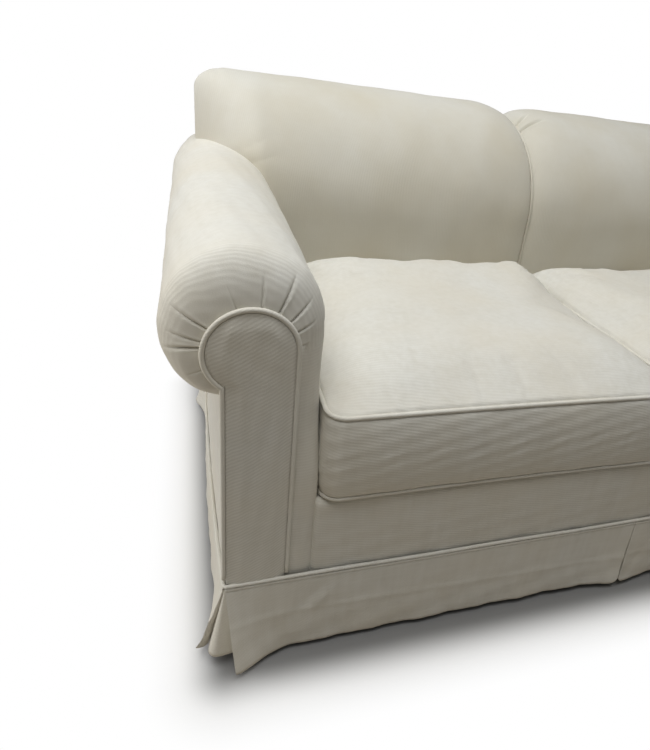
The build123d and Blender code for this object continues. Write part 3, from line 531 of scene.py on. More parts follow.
def plump(obj):
    """Blow up the top of a cushion as cloth sewn to its cords, and keep the form that it takes."""
    scene = bpy.context.scene
    sewn = HIGH_WELT + 0.0045
    work = bpy.data.objects.new("cover_cloth", obj.data.copy())
    scene.collection.objects.link(work)
    even = work.modifiers.new("even", "REMESH")
    even.mode = "VOXEL"
    even.voxel_size = CLOTH_VOXEL
    graph = bpy.context.evaluated_depsgraph_get()
    start = bpy.data.meshes.new_from_object(work.evaluated_get(graph))
    work.modifiers.clear()
    work.data = start
    group = work.vertex_groups.new(name="sewn")
    group.add([v.index for v in start.vertices if v.co.z < sewn], 1.0, "REPLACE")
    cloth = work.modifiers.new("cover", "CLOTH")
    cloth.settings.vertex_group_mass = "sewn"
    cloth.settings.use_pressure = True
    cloth.settings.uniform_pressure_force = CLOTH_PRESSURE
    cloth.settings.shrink_min = -CLOTH_GROWTH
    cloth.settings.effector_weights.gravity = 0.0
    for step in range(CLOTH_FRAMES):
        scene.frame_set(step + 1)
    graph = bpy.context.evaluated_depsgraph_get()
    blown = work.evaluated_get(graph).to_mesh()
    tree = KDTree(len(start.vertices))
    for vertex in start.vertices:
        tree.insert(vertex.co, vertex.index)
    tree.balance()
    x0, x1 = CUSHION_X
    y0, y1 = CUSHION_Y
    for vertex in obj.data.vertices:
        if vertex.co.z > sewn:
            near = tree.find_n(vertex.co, 6)
            shares = [1 / (gap + 0.002) for _, _, gap in near]
            moves = [blown.vertices[i].co - start.vertices[i].co for _, i, _ in near]
            move = sum((m * w for m, w in zip(moves, shares)), Vector()) / sum(shares)
            inside = min(abs(vertex.co.x) - x0, x1 - abs(vertex.co.x), vertex.co.y - y0, y1 - vertex.co.y)
            if move.length > CLOTH_CAP:
                move *= CLOTH_CAP / move.length
            vertex.co += move * float(ease(inside / CLOTH_FADE))
    work.evaluated_get(graph).to_mesh_clear()
    scene.frame_set(1)
    bpy.data.objects.remove(work)


def cushion(side):
    """A boxed seat cushion with a cord round its top and its bottom edge."""
    x0, x1 = CUSHION_X
    y0, y1 = CUSHION_Y
    seed = 1.0 if side == "right" else 2.4
    loops = []
    for z, inset in cushion_levels():
        half = min(x1 - x0, y1 - y0) / 2 - max(inset, 0)
        radius = min(CORNER + 0.25 * max(inset, 0), 0.9 * half)
        ring = rounded_ring(x0 + inset, x1 - inset, y0 + inset, y1 - inset, radius, DRAW)
        height = np.full(RING, z)
        across, along = ring[:, 0] * 9, ring[:, 1] * 9
        if z > HIGH_WELT + 0.002:
            rise = crown_height(ring, REAR_SWELL[side])
            height = height + rise + 0.04 * rise * ripple(across * 0.5, along * 0.5, seed)
            pucker = np.sin(np.arange(RING) * 2 * math.pi * 33 / RING + 3 * ripple(across, along, seed))
            height = height + 0.0007 * bump(inset - 0.012, 0.012) * pucker
        elif LOW_WELT + 0.004 < z < HIGH_WELT - 0.004:
            swell = 0.0012 * ripple(across + 30 * z, along + 12 * z, seed)
            away = ring - np.array([(x0 + x1) / 2, (y0 + y1) / 2])
            ring = ring + swell[:, None] * away / np.linalg.norm(away, axis=1)[:, None]
            near = np.clip((y0 + 0.03 - ring[:, 1]) / 0.03, 0, 1)
            middle = ease((ring[:, 0] - x0) / 0.08) * ease((x1 - ring[:, 0]) / 0.08)
            ring[:, 1] -= FRONT_SWELL * boxing_share(z) * near * (0.35 + 0.65 * middle)
            if ZIP_Z[0] <= z <= ZIP_Z[1]:
                opening = (ring[:, 1] > y1 - 0.02) & (ring[:, 0] > ZIP_X[0]) & (ring[:, 0] < ZIP_X[1])
                ring[opening, 1] = ZIP_FLOOR
        loops.append(np.column_stack([ring, height]))
    form = handed(side, *loop_loft(loops))
    obj = add_mesh(f"seat_cushion_{side}", *form, BOXING, f"cushion_{side}")
    obj.data.materials.append(SEAT)
    for polygon in obj.data.polygons:
        if polygon.center.z > HIGH_WELT + 0.001:
            polygon.material_index = 1
    plump(obj)
    as_pad(obj, f"seat_cover_{side}")
    ring = rounded_ring(x0, x1, y0, y1, CORNER, DRAW)
    for name, z in (("low", LOW_WELT), ("high", HIGH_WELT)):
        points = np.column_stack([ring, np.full(RING, z)])
        form = handed(side, *tube(points, WELT_R, closed=True))
        welt = add_mesh(f"seat_welt_{name}_{side}", *form, WELT, f"cushion_{side}")
        as_cord(welt, f"seat_welts_{side}")


# Back

FACE_POINTS = 26
CURVE_POINTS = 200
TOP_POINTS = 14
FRONT_POINTS = FACE_POINTS + CURVE_POINTS - 1 + TOP_POINTS - 1
SEAM_GAP = 0.001             # half the gap between the two pads
SEAM_CORD_R = 0.0028


def back_profile(inset, drop, low):
    """Loop of (y, z) round the back at one place across: front, top, rear and the inside again."""
    y0 = BACK_FRONT + inset
    y1 = BACK_FRONT + BACK_ROUND
    curve_z = BACK_TOP - BACK_ROUND
    points = []
    start = min(low, curve_z)
    for u in np.linspace(0, 1, FACE_POINTS):
        points.append((y0, start + u * (curve_z - start)))
    deep, high = BACK_ROUND - inset, BACK_ROUND - drop
    for a in np.linspace(0, math.pi / 2, CURVE_POINTS)[1:]:
        points.append((y1 - deep * math.cos(a), curve_z + high * math.sin(a)))
    r2 = BACK_TOP_R - drop
    z1 = BACK_TOP - BACK_TOP_R
    for a in np.linspace(math.pi / 2, 0, TOP_POINTS)[1:]:
        points.append((y1 + r2 * math.cos(a), z1 + r2 * math.sin(a)))
    points = [(y, max(z, low)) for y, z in points]
    seat = TOP_RAIL + FIT
    points.append((rear_y(seat), seat))
    points.append((rear_y(seat) - PANEL_T - FIT, seat))
    points.append((rear_y(low) - PANEL_T - FIT, low))
    return np.array(points)


def back_stations():
    """(place across, inset of the front, drop of the top) over one pad, close where the form turns."""
    stations = []
    for a in np.linspace(0, 90, 28):
        away = SEAM_WIDE * (1 - math.cos(math.radians(a)))
        dip, drop = [
            size * (1 - math.sqrt(1 - max(0.0, 1 - away / reach) ** 2))
            for size, reach in ((SEAM_DIP, SEAM_REACH), (SEAM_DROP, SEAM_WIDE))
        ]
        stations.append((SEAM_GAP + away, dip, drop))
    inner = SEAM_GAP + SEAM_WIDE
    outer = BACK_HALF - BACK_END_W
    edge = SEAT_HALF - FIT
    stations += [(x, 0.0, 0.0) for x in np.linspace(inner, edge, 40)[1:]]
    stations += [(x, 0.0, 0.0) for x in np.linspace(edge + 0.0004, outer, 6)]
    for u in np.sin(np.linspace(0, math.pi / 2, 34))[1:]:
        turned = min(1.0, max(0.0, (u - 0.42) / 0.58))
        drop = BACK_END_R * (1 - math.sqrt(1 - turned**2))
        stations.append((outer + BACK_END_W * u, BACK_END_DEPTH * u**1.8, drop))
    return stations


def back_pad(side):
    """A tight back pad, full in its middle, with the tucks and pulls of its cover."""
    seed = 0.4 if side == "right" else 3.3
    loops = []
    for x, inset, drop in back_stations():
        low = DECK if x < SEAT_HALF else NOTCH
        loop = back_profile(inset, drop, low)
        y, z = loop[:, 0], loop[:, 1]
        front = np.arange(len(loop)) < FRONT_POINTS
        upper = ease((z - DECK) / 0.12)
        middle = ease(x / 0.16) * ease((BACK_HALF - x) / 0.12)
        out = 0.006 * middle * bump(z - 0.60, 0.16) + 0.0012 * ripple(4 * x, 5 * z, seed) * upper
        if side == "right":
            share = np.clip((z - BACK_TOP + BACK_ROUND) / (BACK_ROUND - drop), 0, 1)
            behind = np.arange(len(loop)) > FACE_POINTS + CURVE_POINTS
            below = np.degrees(np.arccos(share)) + 90 * behind
            out += 0.0130 * crease(below - 21 + 180 * x, 0.7) * (1 - ease((x - 0.018) / 0.036))
            out += 0.0130 * crease(below - 27 + 75 * x, 0.7) * (1 - ease((x - 0.024) / 0.060))
        out += 0.0025 * crease(z - 0.655 + 0.35 * (x - 0.62), 0.008) * bump(x - 0.66, 0.05)
        out += 0.0020 * crease(z - 0.690 + 0.55 * (x - 0.62), 0.008) * bump(x - 0.66, 0.045)
        tuck = crease(x - BACK_HALF + 0.050 - 0.5 * (BACK_TOP - z), 0.004)
        out += 0.0040 * tuck * bump(z - BACK_TOP + 0.014, 0.010)
        angle = np.clip((z - (BACK_TOP - BACK_ROUND)) / BACK_ROUND, 0, 1) * math.pi / 2
        dy, dz = -np.cos(angle) * out * front, np.sin(angle) * out * front
        loops.append(np.column_stack([np.full(len(loop), x), y + dy, z + dz]))
    verts, faces = loop_loft(loops)
    obj = add_mesh(f"back_cushion_{side}", *handed(side, verts, flipped(faces)), BACK)
    as_pad(obj, f"back_pad_{side}")


def back_seam():
    """The cord between the back pads, which stands a little out of their seam."""
    loop = back_profile(SEAM_DIP - 2 * SEAM_CORD_R, SEAM_DROP - 0.0046, HIGH_WELT)[: FRONT_POINTS - 1]
    points = np.column_stack([np.zeros(len(loop)), loop])
    keep = [0]
    for i in range(1, len(points)):
        if np.linalg.norm(points[i] - points[keep[-1]]) > 0.002:
            keep.append(i)
    as_cord(add_mesh("back_seam_cord", *tube(points[keep], SEAM_CORD_R), BACK), "back_seam_welt")


# Arms

# Creases gathered round the front of a roll: angle at the cord and at the far end, depth, reach
GATHERS = [
    (-20, -26, 0.0010, 0.040),
    (9, -3, 0.0048, 0.054),
    (15, 13, 0.0026, 0.048),
    (32, 31, 0.0032, 0.050),
    (72, 70, 0.0010, 0.030),
    (101, 95, 0.0032, 0.040),
    (122, 118, 0.0040, 0.052),
    (140, 138, 0.0034, 0.046),
    (155, 156, 0.0026, 0.040),
    (174, 175, 0.0016, 0.034),
]
LIP_X = ARM_OUT + FIT
RIM = 0.11                   # share of the rounding that stands upright beside the cord
ROUND_WAY = 0.068            # way along the cloth over the rounding
GATHER_WAY = 0.06            # way over which the creases spread
STRIP_TOP = 0.30             # height up to which the inner arm is flat in front
STRIP_FADE = 0.18


def arm_stations():
    """(depth behind the facing's back, blend from scroll to roll, way along the cloth, turn)."""
    turns = np.radians(np.linspace(0, 90, 34))
    stations = []
    for a in turns:
        along = a / (math.pi / 2)
        later = max(0.0, (along - RIM) / (1 - RIM))
        turn = later * math.pi / 2
        depth = FRONT_ROUND * (0.6 * (1 - math.cos(turn)) + 0.4 * later)
        blend = 0.6 * math.sin(turn) + 0.4 * (1 - (1 - later) ** 1.9)
        upright = RIM * min(1.0, along / RIM)
        stations.append((depth, upright + (1 - RIM) * blend, ROUND_WAY * along, turn))
    depth = BACK_DEPTH - FACING_T
    for u in np.linspace(0, 1, 64)[1:]:
        y = FRONT_ROUND + (depth - FRONT_ROUND) * u ** 1.15
        stations.append((y, 1.0, ROUND_WAY + y - FRONT_ROUND, math.pi / 2))
    return stations


def arm_loop(depth, t, way, turn):
    """Points round an arm at one station: up its inside, over the roll and back inside the panel."""
    y_plain = FRONT + FACING_T + depth
    r = (SCROLL_R - 0.002) * (1 - t) + ROLL_R * t
    cx = SCROLL_X * (1 - t) + ROLL_X * t
    cz = SCROLL_Z * (1 - t) + roll_z(y_plain) * t
    lip = -math.degrees(math.acos(min(1.0, (LIP_X - cx) / r)))
    rise = np.linspace(0, 1, 30)[:-1]
    points = np.array([(cx - r, RAIL_BOTTOM + u * (cz - RAIL_BOTTOM)) for u in rise])
    theta = np.linspace(180, lip, 860)
    plain_x = cx + r * np.cos(np.radians(theta))
    plain_z = cz + r * np.sin(np.radians(theta))
    around = np.degrees(np.arctan2(plain_z - SCROLL_Z, plain_x - SCROLL_X))
    around = np.where(around < -120, around + 360, around)
    swell = np.zeros(len(theta))
    for root, tip, amount, reach in GATHERS:
        window = ease(way / 0.006 + 0.35) * (1 - ease((way - 0.30 * reach) / (0.60 * reach)))
        place = root + (tip - root) * min(way / GATHER_WAY, 1.0)
        swell += amount * window * crease(around - place, 0.75 + 0.7 * way / GATHER_WAY)
    puff = 0.5 + 0.5 * np.cos(np.radians(around) * 9 + 1.0)
    swell += 0.0010 * puff * ease(way / 0.02) * (1 - ease((way - 0.02) / 0.05))
    swell += 0.0012 * ripple(np.radians(theta) * 1.1, 4.0 * way, 0.8) * ease(way / 0.08)
    swell += 0.0030 * bump(theta + 45, 30) * ease(way / 0.03)
    swell += 0.0030 * math.sin(2 * turn) * ease((180 - theta) / 40) * ease((theta - lip) / 40)
    rr = r + swell * max(0.3, math.sin(turn))
    arc = np.column_stack([cx + rr * np.cos(np.radians(theta)), cz + rr * np.sin(np.radians(theta))])
    uneven = 0.0012 * ripple(points[:, 1] * 4, 4.0 * way, 2.0)
    low_in = np.column_stack([points[:, 0] - uneven, points[:, 1]])
    hidden_x, hidden_z = FACING_LOW.x + 0.02, arc[-1, 1] + 0.012
    tuck = np.array([(ARM_OUT - 0.003, hidden_z), (hidden_x, hidden_z), (hidden_x, RAIL_BOTTOM)])
    xz = np.concatenate([low_in, arc, tuck])
    above = ease((xz[:, 1] - STRIP_TOP) / STRIP_FADE)
    deep = STRIP_SHARE + (1 - STRIP_SHARE) * above
    y = FRONT + FACING_T + min(depth, FRONT_ROUND) * deep
    strip = (xz[:, 0] < SCROLL_X) * (1 - above)
    y = y - 0.005 * strip * math.sin(2 * turn) ** 0.5
    y[len(low_in):len(low_in) + len(arc)] -= swell * math.cos(turn)
    if depth > FRONT_ROUND:
        rear = np.array([rear_y(z) for z in xz[:, 1]]) - 0.0015
        y = y + (rear - y) * (depth - FRONT_ROUND) / (BACK_DEPTH - FACING_T - FRONT_ROUND)
    return np.column_stack([xz[:, 0], y, xz[:, 1]])


def arms():
    """The rolled arm pads, drawn in a little at their rear ends."""
    loops = [arm_loop(*station) for station in arm_stations()]
    last = loops[-1]
    for shrink, back in ((0.985, 0.00048), (0.955, 0.0012)):
        end = last.copy()
        end[:, 0] = ROLL_X + (last[:, 0] - ROLL_X) * shrink
        end[:, 1] = last[:, 1] + back
        loops.append(end)
    verts, faces = loop_loft(loops)
    for obj in both_pads("arm_roll", verts, flipped(faces), ROLL, "arm_pad", 0.8):
        obj.data.materials.append(STRIP)
        for polygon in obj.data.polygons:
            inner = abs(polygon.center.x) < SCROLL_X and polygon.center.z < SCROLL_Z
            polygon.material_index = 1 if inner else 0


def scroll_outline(grow, count):
    """Outline of a facing from its inner foot over the scroll to its outer foot, as (x, z)."""
    r = SCROLL_R + grow
    x_in, x_out = SCROLL_X - r, ARM_OUT + grow
    neck = math.acos((x_out - SCROLL_X) / r)
    points = [(x_in, z) for z in np.linspace(RAIL_BOTTOM, SCROLL_Z, count)[:-1]]
    for a in np.linspace(math.pi, -neck, 2 * count):
        points.append((SCROLL_X + r * math.cos(a), SCROLL_Z + r * math.sin(a)))
    foot = points[-1][1]
    points += [(x_out, z) for z in np.linspace(foot, RAIL_BOTTOM, count)[1:]]
    return np.array(points)


def facings():
    """The scroll-topped facings and the cords round them."""
    neck = SCROLL_Z - math.sqrt(SCROLL_R**2 - (ARM_OUT - SCROLL_X) ** 2)
    rows = list(np.linspace(RAIL_BOTTOM, neck, 30)) + list(np.linspace(neck, SCROLL_Z, 14)[1:])
    rows += [SCROLL_Z + SCROLL_R * math.sin(a) for a in np.linspace(0, math.radians(88), 24)[1:]]
    front = []
    across = np.linspace(0, 1, 26)
    for z in rows:
        chord = math.sqrt(max(SCROLL_R**2 - (z - SCROLL_Z) ** 2, 1e-9))
        left = SCROLL_X - chord if z > SCROLL_Z else FACING_IN
        right = SCROLL_X + chord if z > neck else ARM_OUT
        x = left + (right - left) * across
        edge = np.minimum(np.minimum(x - left, right - x), SCROLL_Z + SCROLL_R - z)
        puff = 0.0040 * ease(edge / 0.022) + 0.0006 * ripple(30 * x, 14 * z, 1.0) * ease(edge / 0.02)
        front.append(np.column_stack([x, FRONT + 0.0005 - puff, np.full(len(x), z)]))
    front = np.array(front)
    back = front.copy()
    back[:, :, 1] = FRONT + FACING_T - FIT
    both_pads("facing_pad", *slab(front, back), FACING, "arm_facing", 0.9)
    line = scroll_outline(WELT_R + FIT, 40)
    line = line[line[:, 1] > SKIRT_TOP + 2 * WELT_R]
    points = np.column_stack([line[:, 0], np.full(len(line), FRONT + FACING_T / 2 - 0.001), line[:, 1]])
    form = tube(points, WELT_R)
    for side in ("right", "left"):
        as_cord(add_mesh(f"facing_cord_{side}", *handed(side, *form), WELT), "facing_welts")


# Flat covers

def panel(name, node, rows, thickness, material, out, seed):
    """A stretched cover over rows of points, slightly uneven along its outward direction."""
    grid = np.array(rows, float)
    cols = grid.shape[1]
    middle = grid[:, cols // 2]
    u = np.linalg.norm(middle - middle[0], axis=1)[:, None]
    u = u / u[-1]
    v = np.linspace(0, 1, cols)[None, :]
    edge = np.minimum(ease(np.minimum(u, 1 - u) / 0.12), ease(np.minimum(v, 1 - v) / 0.08))
    wave = 0.0010 * (1 + ripple(5 * u, 7 * v, seed)) * edge
    out = np.array(out, float)
    front = grid + wave[:, :, None] * out
    back = grid - thickness * out
    obj = add_mesh(name, *slab(front, back), material)
    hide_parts(node)
    return obj


def outside_panels():
    """The covers of the outside arms and of the outside back, which is notched round the arms."""
    top_front = ROLL_Z - 0.045
    for side in ("right", "left"):
        sign = 1 if side == "right" else -1
        rows = []
        for u in np.linspace(0, 1, 24):
            row = []
            for s in np.linspace(0, 1, 46):
                z_top = top_front + ROLL_CLIMB * s
                z = RAIL_BOTTOM + u * (z_top - RAIL_BOTTOM)
                y0 = FRONT + FACING_T * 0.6
                y = y0 + s * (rear_y(z) - PANEL_T - y0)
                row.append((sign * (ARM_OUT + side_bow(y)), y, z))
            rows.append(row if side == "right" else row[::-1])
        node = f"outside_arm_{side}"
        panel(f"{node}_cover", node, rows, 0.004, COVER, (sign, 0, 0), 1.5)
    rows = []
    below, above = np.linspace(RAIL_BOTTOM, NOTCH, 20), np.linspace(NOTCH + 0.0005, TOP_RAIL - FIT, 8)
    for z in np.concatenate([below, above]):
        half = ARM_OUT if z <= NOTCH else BACK_HALF
        rows.append([(x, rear_y(z), z) for x in np.linspace(half, -half, 60)])
    panel("outside_back_cover", "outside_back", rows, PANEL_T - FIT, COVER, (0, 1, 0), 2.2)


def border():
    """The padded front under the cushions, turned over at its top and its ends."""
    low, high = BORDER_LOW, BORDER_HIGH
    turn = 0.009
    rows = [(low.y, z) for z in np.linspace(low.z, high.z - turn, 22)]
    for a in np.linspace(0, math.pi / 2, 8)[1:]:
        rows.append((low.y + turn * (1 - math.cos(a)), high.z - turn + turn * math.sin(a)))
    half = high.x + 0.004
    xs = half * np.sin(np.linspace(-math.pi / 2, math.pi / 2, 121))
    front = np.array([[(x, y, z) for x in xs] for y, z in rows])
    swell = 0.0030 * bump(front[:, :, 2] - (low.z + high.z) / 2 - 0.02, 0.06)
    swell += 0.0012 * ripple(9 * front[:, :, 0], 16 * front[:, :, 2], 0.3)
    near_end = np.clip(1 - (half - np.abs(front[:, :, 0])) / 0.008, 0, 1)
    front[:, :, 1] += turn * (1 - np.sqrt(1 - near_end**2)) - swell * (1 - near_end)
    back = front.copy()
    back[:, :, 1] = high.y
    as_pad(add_mesh("front_border_pad", *slab(front, back), BOXING), "front_border")


def flat_sheets():
    """The deck cloth under the cushions, flat on top, and the dust cover below the frame."""
    size = DECK_HIGH - DECK_LOW
    xs = np.linspace(DECK_LOW.x, DECK_HIGH.x, 60)
    rows = [[(x, y, DECK_HIGH.z) for x in xs] for y in np.linspace(DECK_LOW.y, DECK_HIGH.y, 36)]
    deck = panel(
        "deck_cover", "deck_cloth", rows, size.z, DECK_CLOTH, (0, 0, 1), 0.9
    )
    for v in deck.data.vertices:
        v.co.z = min(v.co.z, DECK_HIGH.z)
    size = DUST_HIGH - DUST_LOW
    xs = np.linspace(DUST_HIGH.x, DUST_LOW.x, 40)
    rows = [[(x, y, DUST_LOW.z) for x in xs] for y in np.linspace(DUST_LOW.y, DUST_HIGH.y, 24)]
    panel("dust_sheet", "dust_cover", rows, size.z, DUST, (0, 0, -1), 1.9)


# Skirt

SKIRT_IN = 2 * FIT + SKIRT_T
SKIRT_DROP = SKIRT_TOP - HEM
INSERT_REACH = 0.09          # how far an insert goes behind the panel on each side
INSERT_LIFT = 0.011          # hem of a corner insert above the panels' hem


def skirt_grid(length, kick0, kick1, open0, open1, seed, bow):
    """Outer points of a panel along +X that faces -Y, from its top to its hem."""
    rows = []
    for h in np.concatenate([np.linspace(0, 0.06, 8), np.linspace(0.08, 1, 30)]):
        s = (1 - np.cos(np.linspace(0, math.pi, 120))) / 2
        run = open0 * h + s * (length - (open0 + open1) * h)
        from0, from1 = run - open0 * h, length - open1 * h - run
        lift = SKIRT_FLARE
        lift = lift + (kick0 - SKIRT_FLARE) * np.clip(1 - from0 / KICK_REACH, 0, 1) ** 2
        lift = lift + (kick1 - SKIRT_FLARE) * np.clip(1 - from1 / KICK_REACH, 0, 1) ** 2
        n = SKIRT_IN + SKIRT_T + lift * h**1.15 + bow * np.sin(math.pi * np.clip(run / length, 0, 1)) ** 0.8
        down = h * SKIRT_DROP
        n = n + 0.0010 * bump(down - 0.0028, 0.0016) - 0.0008 * bump(down - 0.0060, 0.0016)
        n = n + 0.0022 * h * ripple(9 * run, 1.5 * h, seed)
        slant = run - 0.80 * length - 0.09 * (h - 0.3)
        pulls = bump(slant, 0.010) - 0.7 * bump(slant - 0.03 * length, 0.012)
        n = n + 0.0030 * pulls * bump(h - 0.36, 0.16)
        fold = h - 0.52 - 0.05 * np.sin(5 * run + seed)
        n = n - 0.0012 * crease(fold * SKIRT_DROP, 0.004) * ease(h / 0.2)
        z = SKIRT_TOP + (HEM - SKIRT_TOP) * h + 0.0012 * h * np.sin(6 * run + seed)
        blunt = np.clip(1 - np.minimum(from0, from1) / 0.014, 0, 1)
        z = z + 0.009 * h**6 * (1 - np.sqrt(1 - blunt**2))
        rows.append(np.column_stack([run, -n, z]))
    return np.array(rows)


def skirt_panel(node, length, kicks, opens, place, seed, flip, bow):
    """A hung panel whose ends kick out beside the pleats and are turned under."""
    outer = skirt_grid(length, *kicks, *opens, seed, bow)
    inner = outer.copy()
    run = outer[:, :, 0]
    from_end = np.minimum(run - run[:, :1], run[:, -1:] - run)
    fold = np.sqrt(np.clip(1 - ((from_end - 0.012) / 0.012) ** 2, 0, 1))
    deep = np.linspace(0, 1, len(outer))[:, None]
    inner[:, :, 1] += SKIRT_T * 0.9 + 0.0095 * fold * ease(deep / 0.6)
    verts, faces = slab(outer, inner)
    verts = np.array([place @ Vector(v) for v in verts])
    faces = faces if flip else flipped(faces)
    as_skirt(add_mesh(f"{node}_panel", verts, faces, COVER), node)


def skirt():
    """Two panels on each face: one as placed, and its mirror image with folds of its own."""
    gap = 0.001
    half = SKIRT_HIGH.x - gap
    deep = SIDE_SKIRT_HIGH.y - SIDE_SKIRT_LOW.y
    centre, ends = (0.002, PLEAT_OPEN), (PLEAT_OPEN, PLEAT_OPEN)
    mirrored = Matrix.Scale(-1, 4, (1, 0, 0))
    front = Matrix.Translation((gap, FRONT, 0))
    rear = Matrix.Translation((0, rear_y(SKIRT_TOP), 0)) @ Matrix.Rotation(math.pi, 4, "Z")
    rear = rear @ Matrix.Translation((gap, 0, 0))
    side = Matrix.Translation((ARM_OUT, SIDE_SKIRT_LOW.y, 0)) @ Matrix.Rotation(math.pi / 2, 4, "Z")
    for face, hands, length, kicks, opens, place, seeds, bow in (
        ("front", ("right", "left"), half, (CENTRE_KICK, CORNER_KICK), centre, front, (0.2, 1.1), 0.0),
        ("rear", ("left", "right"), half, (CENTRE_KICK, REAR_KICK), centre, rear, (2.3, 0.8), 0.0),
        ("side", ("right", "left"), deep, (CORNER_KICK, REAR_KICK), ends, side, (1.4, 2.9), SIDE_BOW),
    ):
        first, second = hands
        skirt_panel(f"skirt_{face}_{first}", length, kicks, opens, place, seeds[0], False, bow)
        skirt_panel(f"skirt_{face}_{second}", length, kicks, opens, mirrored @ place, seeds[1], True, bow)


def corner_insert_grid(depth):
    """A pleat insert round the front right corner, standing out in a soft fold at the hem."""
    rows = []
    turn = 0.012
    base = FIT + depth
    for h in np.linspace(0, 1, 22):
        side, ahead = base + 0.024 * h**1.1, base + 0.010 * h**1.1
        r = turn * h + 0.001
        row = []
        for s in np.linspace(1, 0, 16)[:-1]:
            share = ease(1 - s) ** 1.5
            row.append((ARM_OUT - r + side - INSERT_REACH * s, base + (ahead - base) * share))
        for a in np.linspace(-90, 0, 12):
            turned = math.radians(a)
            row.append((ARM_OUT + side - r + r * math.cos(turned), ahead - r - r * math.sin(turned)))
        for s in np.linspace(0, 1, 16)[1:]:
            share = ease(1 - s) ** 1.5
            row.append((ARM_OUT + base + (side - base) * share, ahead - r - INSERT_REACH * s))
        z = SKIRT_TOP + (HEM + INSERT_LIFT - SKIRT_TOP) * h
        rows.append([(x, FRONT - y, z) for x, y in row])
    return np.array(rows)


def inserts():
    """The cloth behind the pleats at the four corners and at the two centres."""
    verts, faces = slab(corner_insert_grid(SKIRT_T), corner_insert_grid(0.0))
    base_rear = rear_y(SKIRT_TOP)
    rear = verts.copy()
    rear[:, 1] = FRONT + base_rear - rear[:, 1]
    for name, v, turned in (
        ("front_right", verts, True),
        ("front_left", mirror_x(verts), False),
        ("rear_right", rear, False),
        ("rear_left", mirror_x(rear), True),
    ):
        obj = add_mesh(f"pleat_insert_{name}", v, flipped(faces) if turned else faces, COVER)
        as_skirt(obj, "skirt_corner_inserts")
    for name, y, out in (("front", FRONT - FIT, -1), ("rear", base_rear + FIT, 1)):
        xs = np.linspace(-INSERT_REACH, INSERT_REACH, 24) * -out
        rows = []
        for h in np.linspace(0, 1, 16):
            z = SKIRT_TOP + (HEM + 0.001 - SKIRT_TOP) * h
            rows.append([(x, y + out * SKIRT_T, z) for x in xs])
        grid = np.array(rows)
        back = grid.copy()
        back[:, :, 1] = y
        v, f = slab(grid, back)
        obj = add_mesh(f"centre_pleat_insert_{name}", v, flipped(f), COVER)
        as_skirt(obj, "skirt_centre_inserts")


def skirt_cord():
    """The cord all round along the skirt's top."""
    radius = 0.0027
    z = SKIRT_TOP + radius + 0.0006
    out = FIT + WELT_R
    x, y0 = ARM_OUT + out, FRONT - out
    y1 = rear_y(z) + out * 1.02
    r = 0.0045
    left, right, near, far = -x + r, x - r, y0 + r, y1 - r
    points = []
    for cx, cy, turn in ((right, near, -90), (right, far, 0), (left, far, 90), (left, near, 180)):
        for a in np.linspace(turn, turn + 90, 7):
            points.append((cx + r * math.cos(math.radians(a)), cy + r * math.sin(math.radians(a)), z))
    dense = []
    for a, b in zip(points, points[1:] + points[:1]):
        steps = max(1, int(math.dist(a, b) / 0.02))
        dense += [tuple(np.array(a) + (np.array(b) - np.array(a)) * k / steps) for k in range(steps)]
    dense = np.array(dense)
    dense[:, 2] += 0.0006 * np.sin(dense[:, 0] * 21 + dense[:, 1] * 13)
    beside = np.clip((np.abs(dense[:, 0]) - ARM_OUT) / out, 0, 1)
    dense[:, 0] += np.sign(dense[:, 0]) * beside * side_bow(dense[:, 1])
    as_cord(add_mesh("skirt_cord", *tube(dense, radius, closed=True), WELT), "skirt_welt")


# Stage, lights and camera

# The grey is a shadow painted on the floor at the seat's foot, seen only by the camera; the first reach is
# how far out that painted shadow fades to white.
FLOOR_PAINTED_SHADOW = (0.26, 0.26, 0.26)
FLOOR_WHITE = (0.95, 0.95, 0.95)
FLOOR_GLOW = (0.52, 0.47, 0.40)      # what the floor throws back onto the seat
PAINTED_SHADOW_REACH = 0.075
FADE_REACH = 0.125


def floor_material():
    """White, with a painted shadow that darkens it close to the seat, and fading to plain white a little
    way off.
    """
    mat, tree, shader = new_material("studio_floor")
    shader.inputs["Roughness"].default_value = 0.9
    shader.inputs["Specular IOR Level"].default_value = 0.1
    footprint = (ARM_OUT, BACK_DEPTH / 2, 0)
    place = add_node(tree, "VectorMath", {0: object_coords(tree)}, operation="ABSOLUTE").outputs[0]
    place = add_node(tree, "VectorMath", {0: place, 1: footprint}, operation="SUBTRACT").outputs[0]
    place = add_node(tree, "VectorMath", {0: place, 1: (0, 0, 0)}, operation="MAXIMUM").outputs[0]
    away = add_node(tree, "VectorMath", {0: place}, operation="LENGTH").outputs["Value"]
    seen = add_node(tree, "LightPath", {}).outputs["Is Camera Ray"]
    # Painted shadow: the floor seen by the camera is grey at the seat's foot and white further off.
    floor_with_painted_shadow = mixed(tree, smooth_step(tree, away, 0.0, PAINTED_SHADOW_REACH), FLOOR_PAINTED_SHADOW, FLOOR_WHITE)
    tree.links.new(mixed(tree, seen, FLOOR_GLOW, floor_with_painted_shadow), shader.inputs["Base Color"])
    faded = {0: smooth_step(tree, away, 0.0, FADE_REACH), 1: seen}
    share = add_node(tree, "Math", faded, operation="MULTIPLY").outputs[0]
    white = add_node(tree, "Emission", {}).outputs[0]
    mix = add_node(tree, "MixShader", {0: share, 1: shader.outputs[0], 2: white})
    tree.links.new(mix.outputs[0], tree.nodes["Material Output"].inputs["Surface"])
    return mat


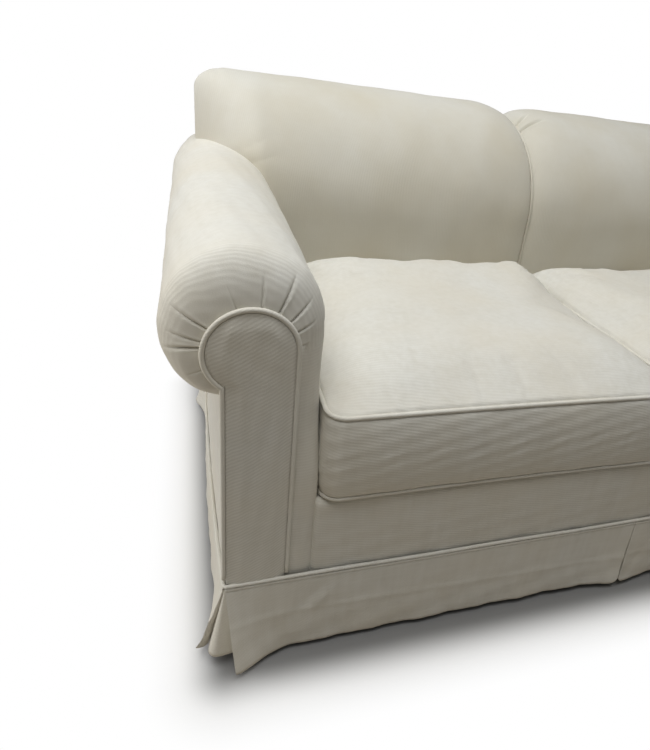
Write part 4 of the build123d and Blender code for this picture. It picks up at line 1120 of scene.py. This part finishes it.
def stage():
    """The floor, and a world that is white to the camera and gives a faint light."""
    mat = floor_material()
    mesh = bpy.data.meshes.new("floor")
    mesh.from_pydata([(-15, -15, 0), (15, -15, 0), (15, 15, 0), (-15, 15, 0)], [], [(0, 1, 2, 3)])
    mesh.materials.append(mat)
    floor = bpy.data.objects.new("floor", mesh)
    bpy.context.scene.collection.objects.link(floor)

    world = bpy.data.worlds.new("studio")
    bpy.context.scene.world = world
    world.use_nodes = True
    tree = world.node_tree
    ambient = tree.nodes["Background"]
    ambient.inputs["Color"].default_value = (1.0, 0.98, 0.93, 1)
    ambient.inputs["Strength"].default_value = 0.10
    white = add_node(tree, "Background", {"Color": (1, 1, 1, 1)})
    seen = add_node(tree, "LightPath", {}).outputs["Is Camera Ray"]
    mix = add_node(tree, "MixShader", {0: seen, 1: ambient.outputs[0], 2: white.outputs[0]})
    tree.links.new(mix.outputs[0], tree.nodes["World Output"].inputs["Surface"])


def lamp(name, place, target, size, power, colour):
    data = bpy.data.lights.new(name, "AREA")
    data.shape = "RECTANGLE"
    data.size, data.size_y = size
    data.energy = power
    data.color = colour
    obj = bpy.data.objects.new(name, data)
    bpy.context.scene.collection.objects.link(obj)
    direction = Vector(target) - Vector(place)
    obj.matrix_world = Matrix.Translation(place) @ direction.to_track_quat("-Z", "Y").to_matrix().to_4x4()


def lights():
    lamp("overhead", (-0.80, -0.34, 2.8), (-0.2, 0, 0.4), (2.2, 2.0), 62, (1.0, 1.0, 0.985))
    lamp("left_fill", (-2.9, 0.2, 0.7), (0, 0, 0.4), (1.2, 1.2), 22, (1.0, 0.99, 0.97))


# The photograph's camera: focal length and optical centre in its pixels, and where it stands
PHOTO_W, PHOTO_H = 650, 750
FOCAL_PX = 547.3
CENTRE_PX = (387, 350)
CAMERA_AT = (-0.755, FRONT - 0.568, 0.825)
CAMERA_RIGHT = (0.9450, -0.3022, 0.1248)
CAMERA_UP = (0.0279, 0.4550, 0.8900)
SENSOR = 36.0


def camera():
    data = bpy.data.cameras.new("photo_camera")
    data.sensor_width = SENSOR
    data.lens = FOCAL_PX / PHOTO_H * SENSOR
    data.shift_x = (PHOTO_W / 2 - CENTRE_PX[0]) / PHOTO_H
    data.shift_y = (CENTRE_PX[1] - PHOTO_H / 2) / PHOTO_H
    data.clip_start = 0.01
    obj = bpy.data.objects.new("photo_camera", data)
    bpy.context.scene.collection.objects.link(obj)
    right, up = Vector(CAMERA_RIGHT).normalized(), Vector(CAMERA_UP)
    up = (up - right * up.dot(right)).normalized()
    turn = Matrix((right, up, right.cross(up))).transposed().to_4x4()
    obj.matrix_world = Matrix.Translation(CAMERA_AT) @ turn
    bpy.context.scene.camera = obj


dress_frame()
for SIDE in ("left", "right"):
    cushion(SIDE)
    back_pad(SIDE)
back_seam()
arms()
facings()
outside_panels()
border()
flat_sheets()
skirt()
inserts()
skirt_cord()
stage()
lights()
camera()
bpy.context.scene.view_settings.view_transform = "Standard"
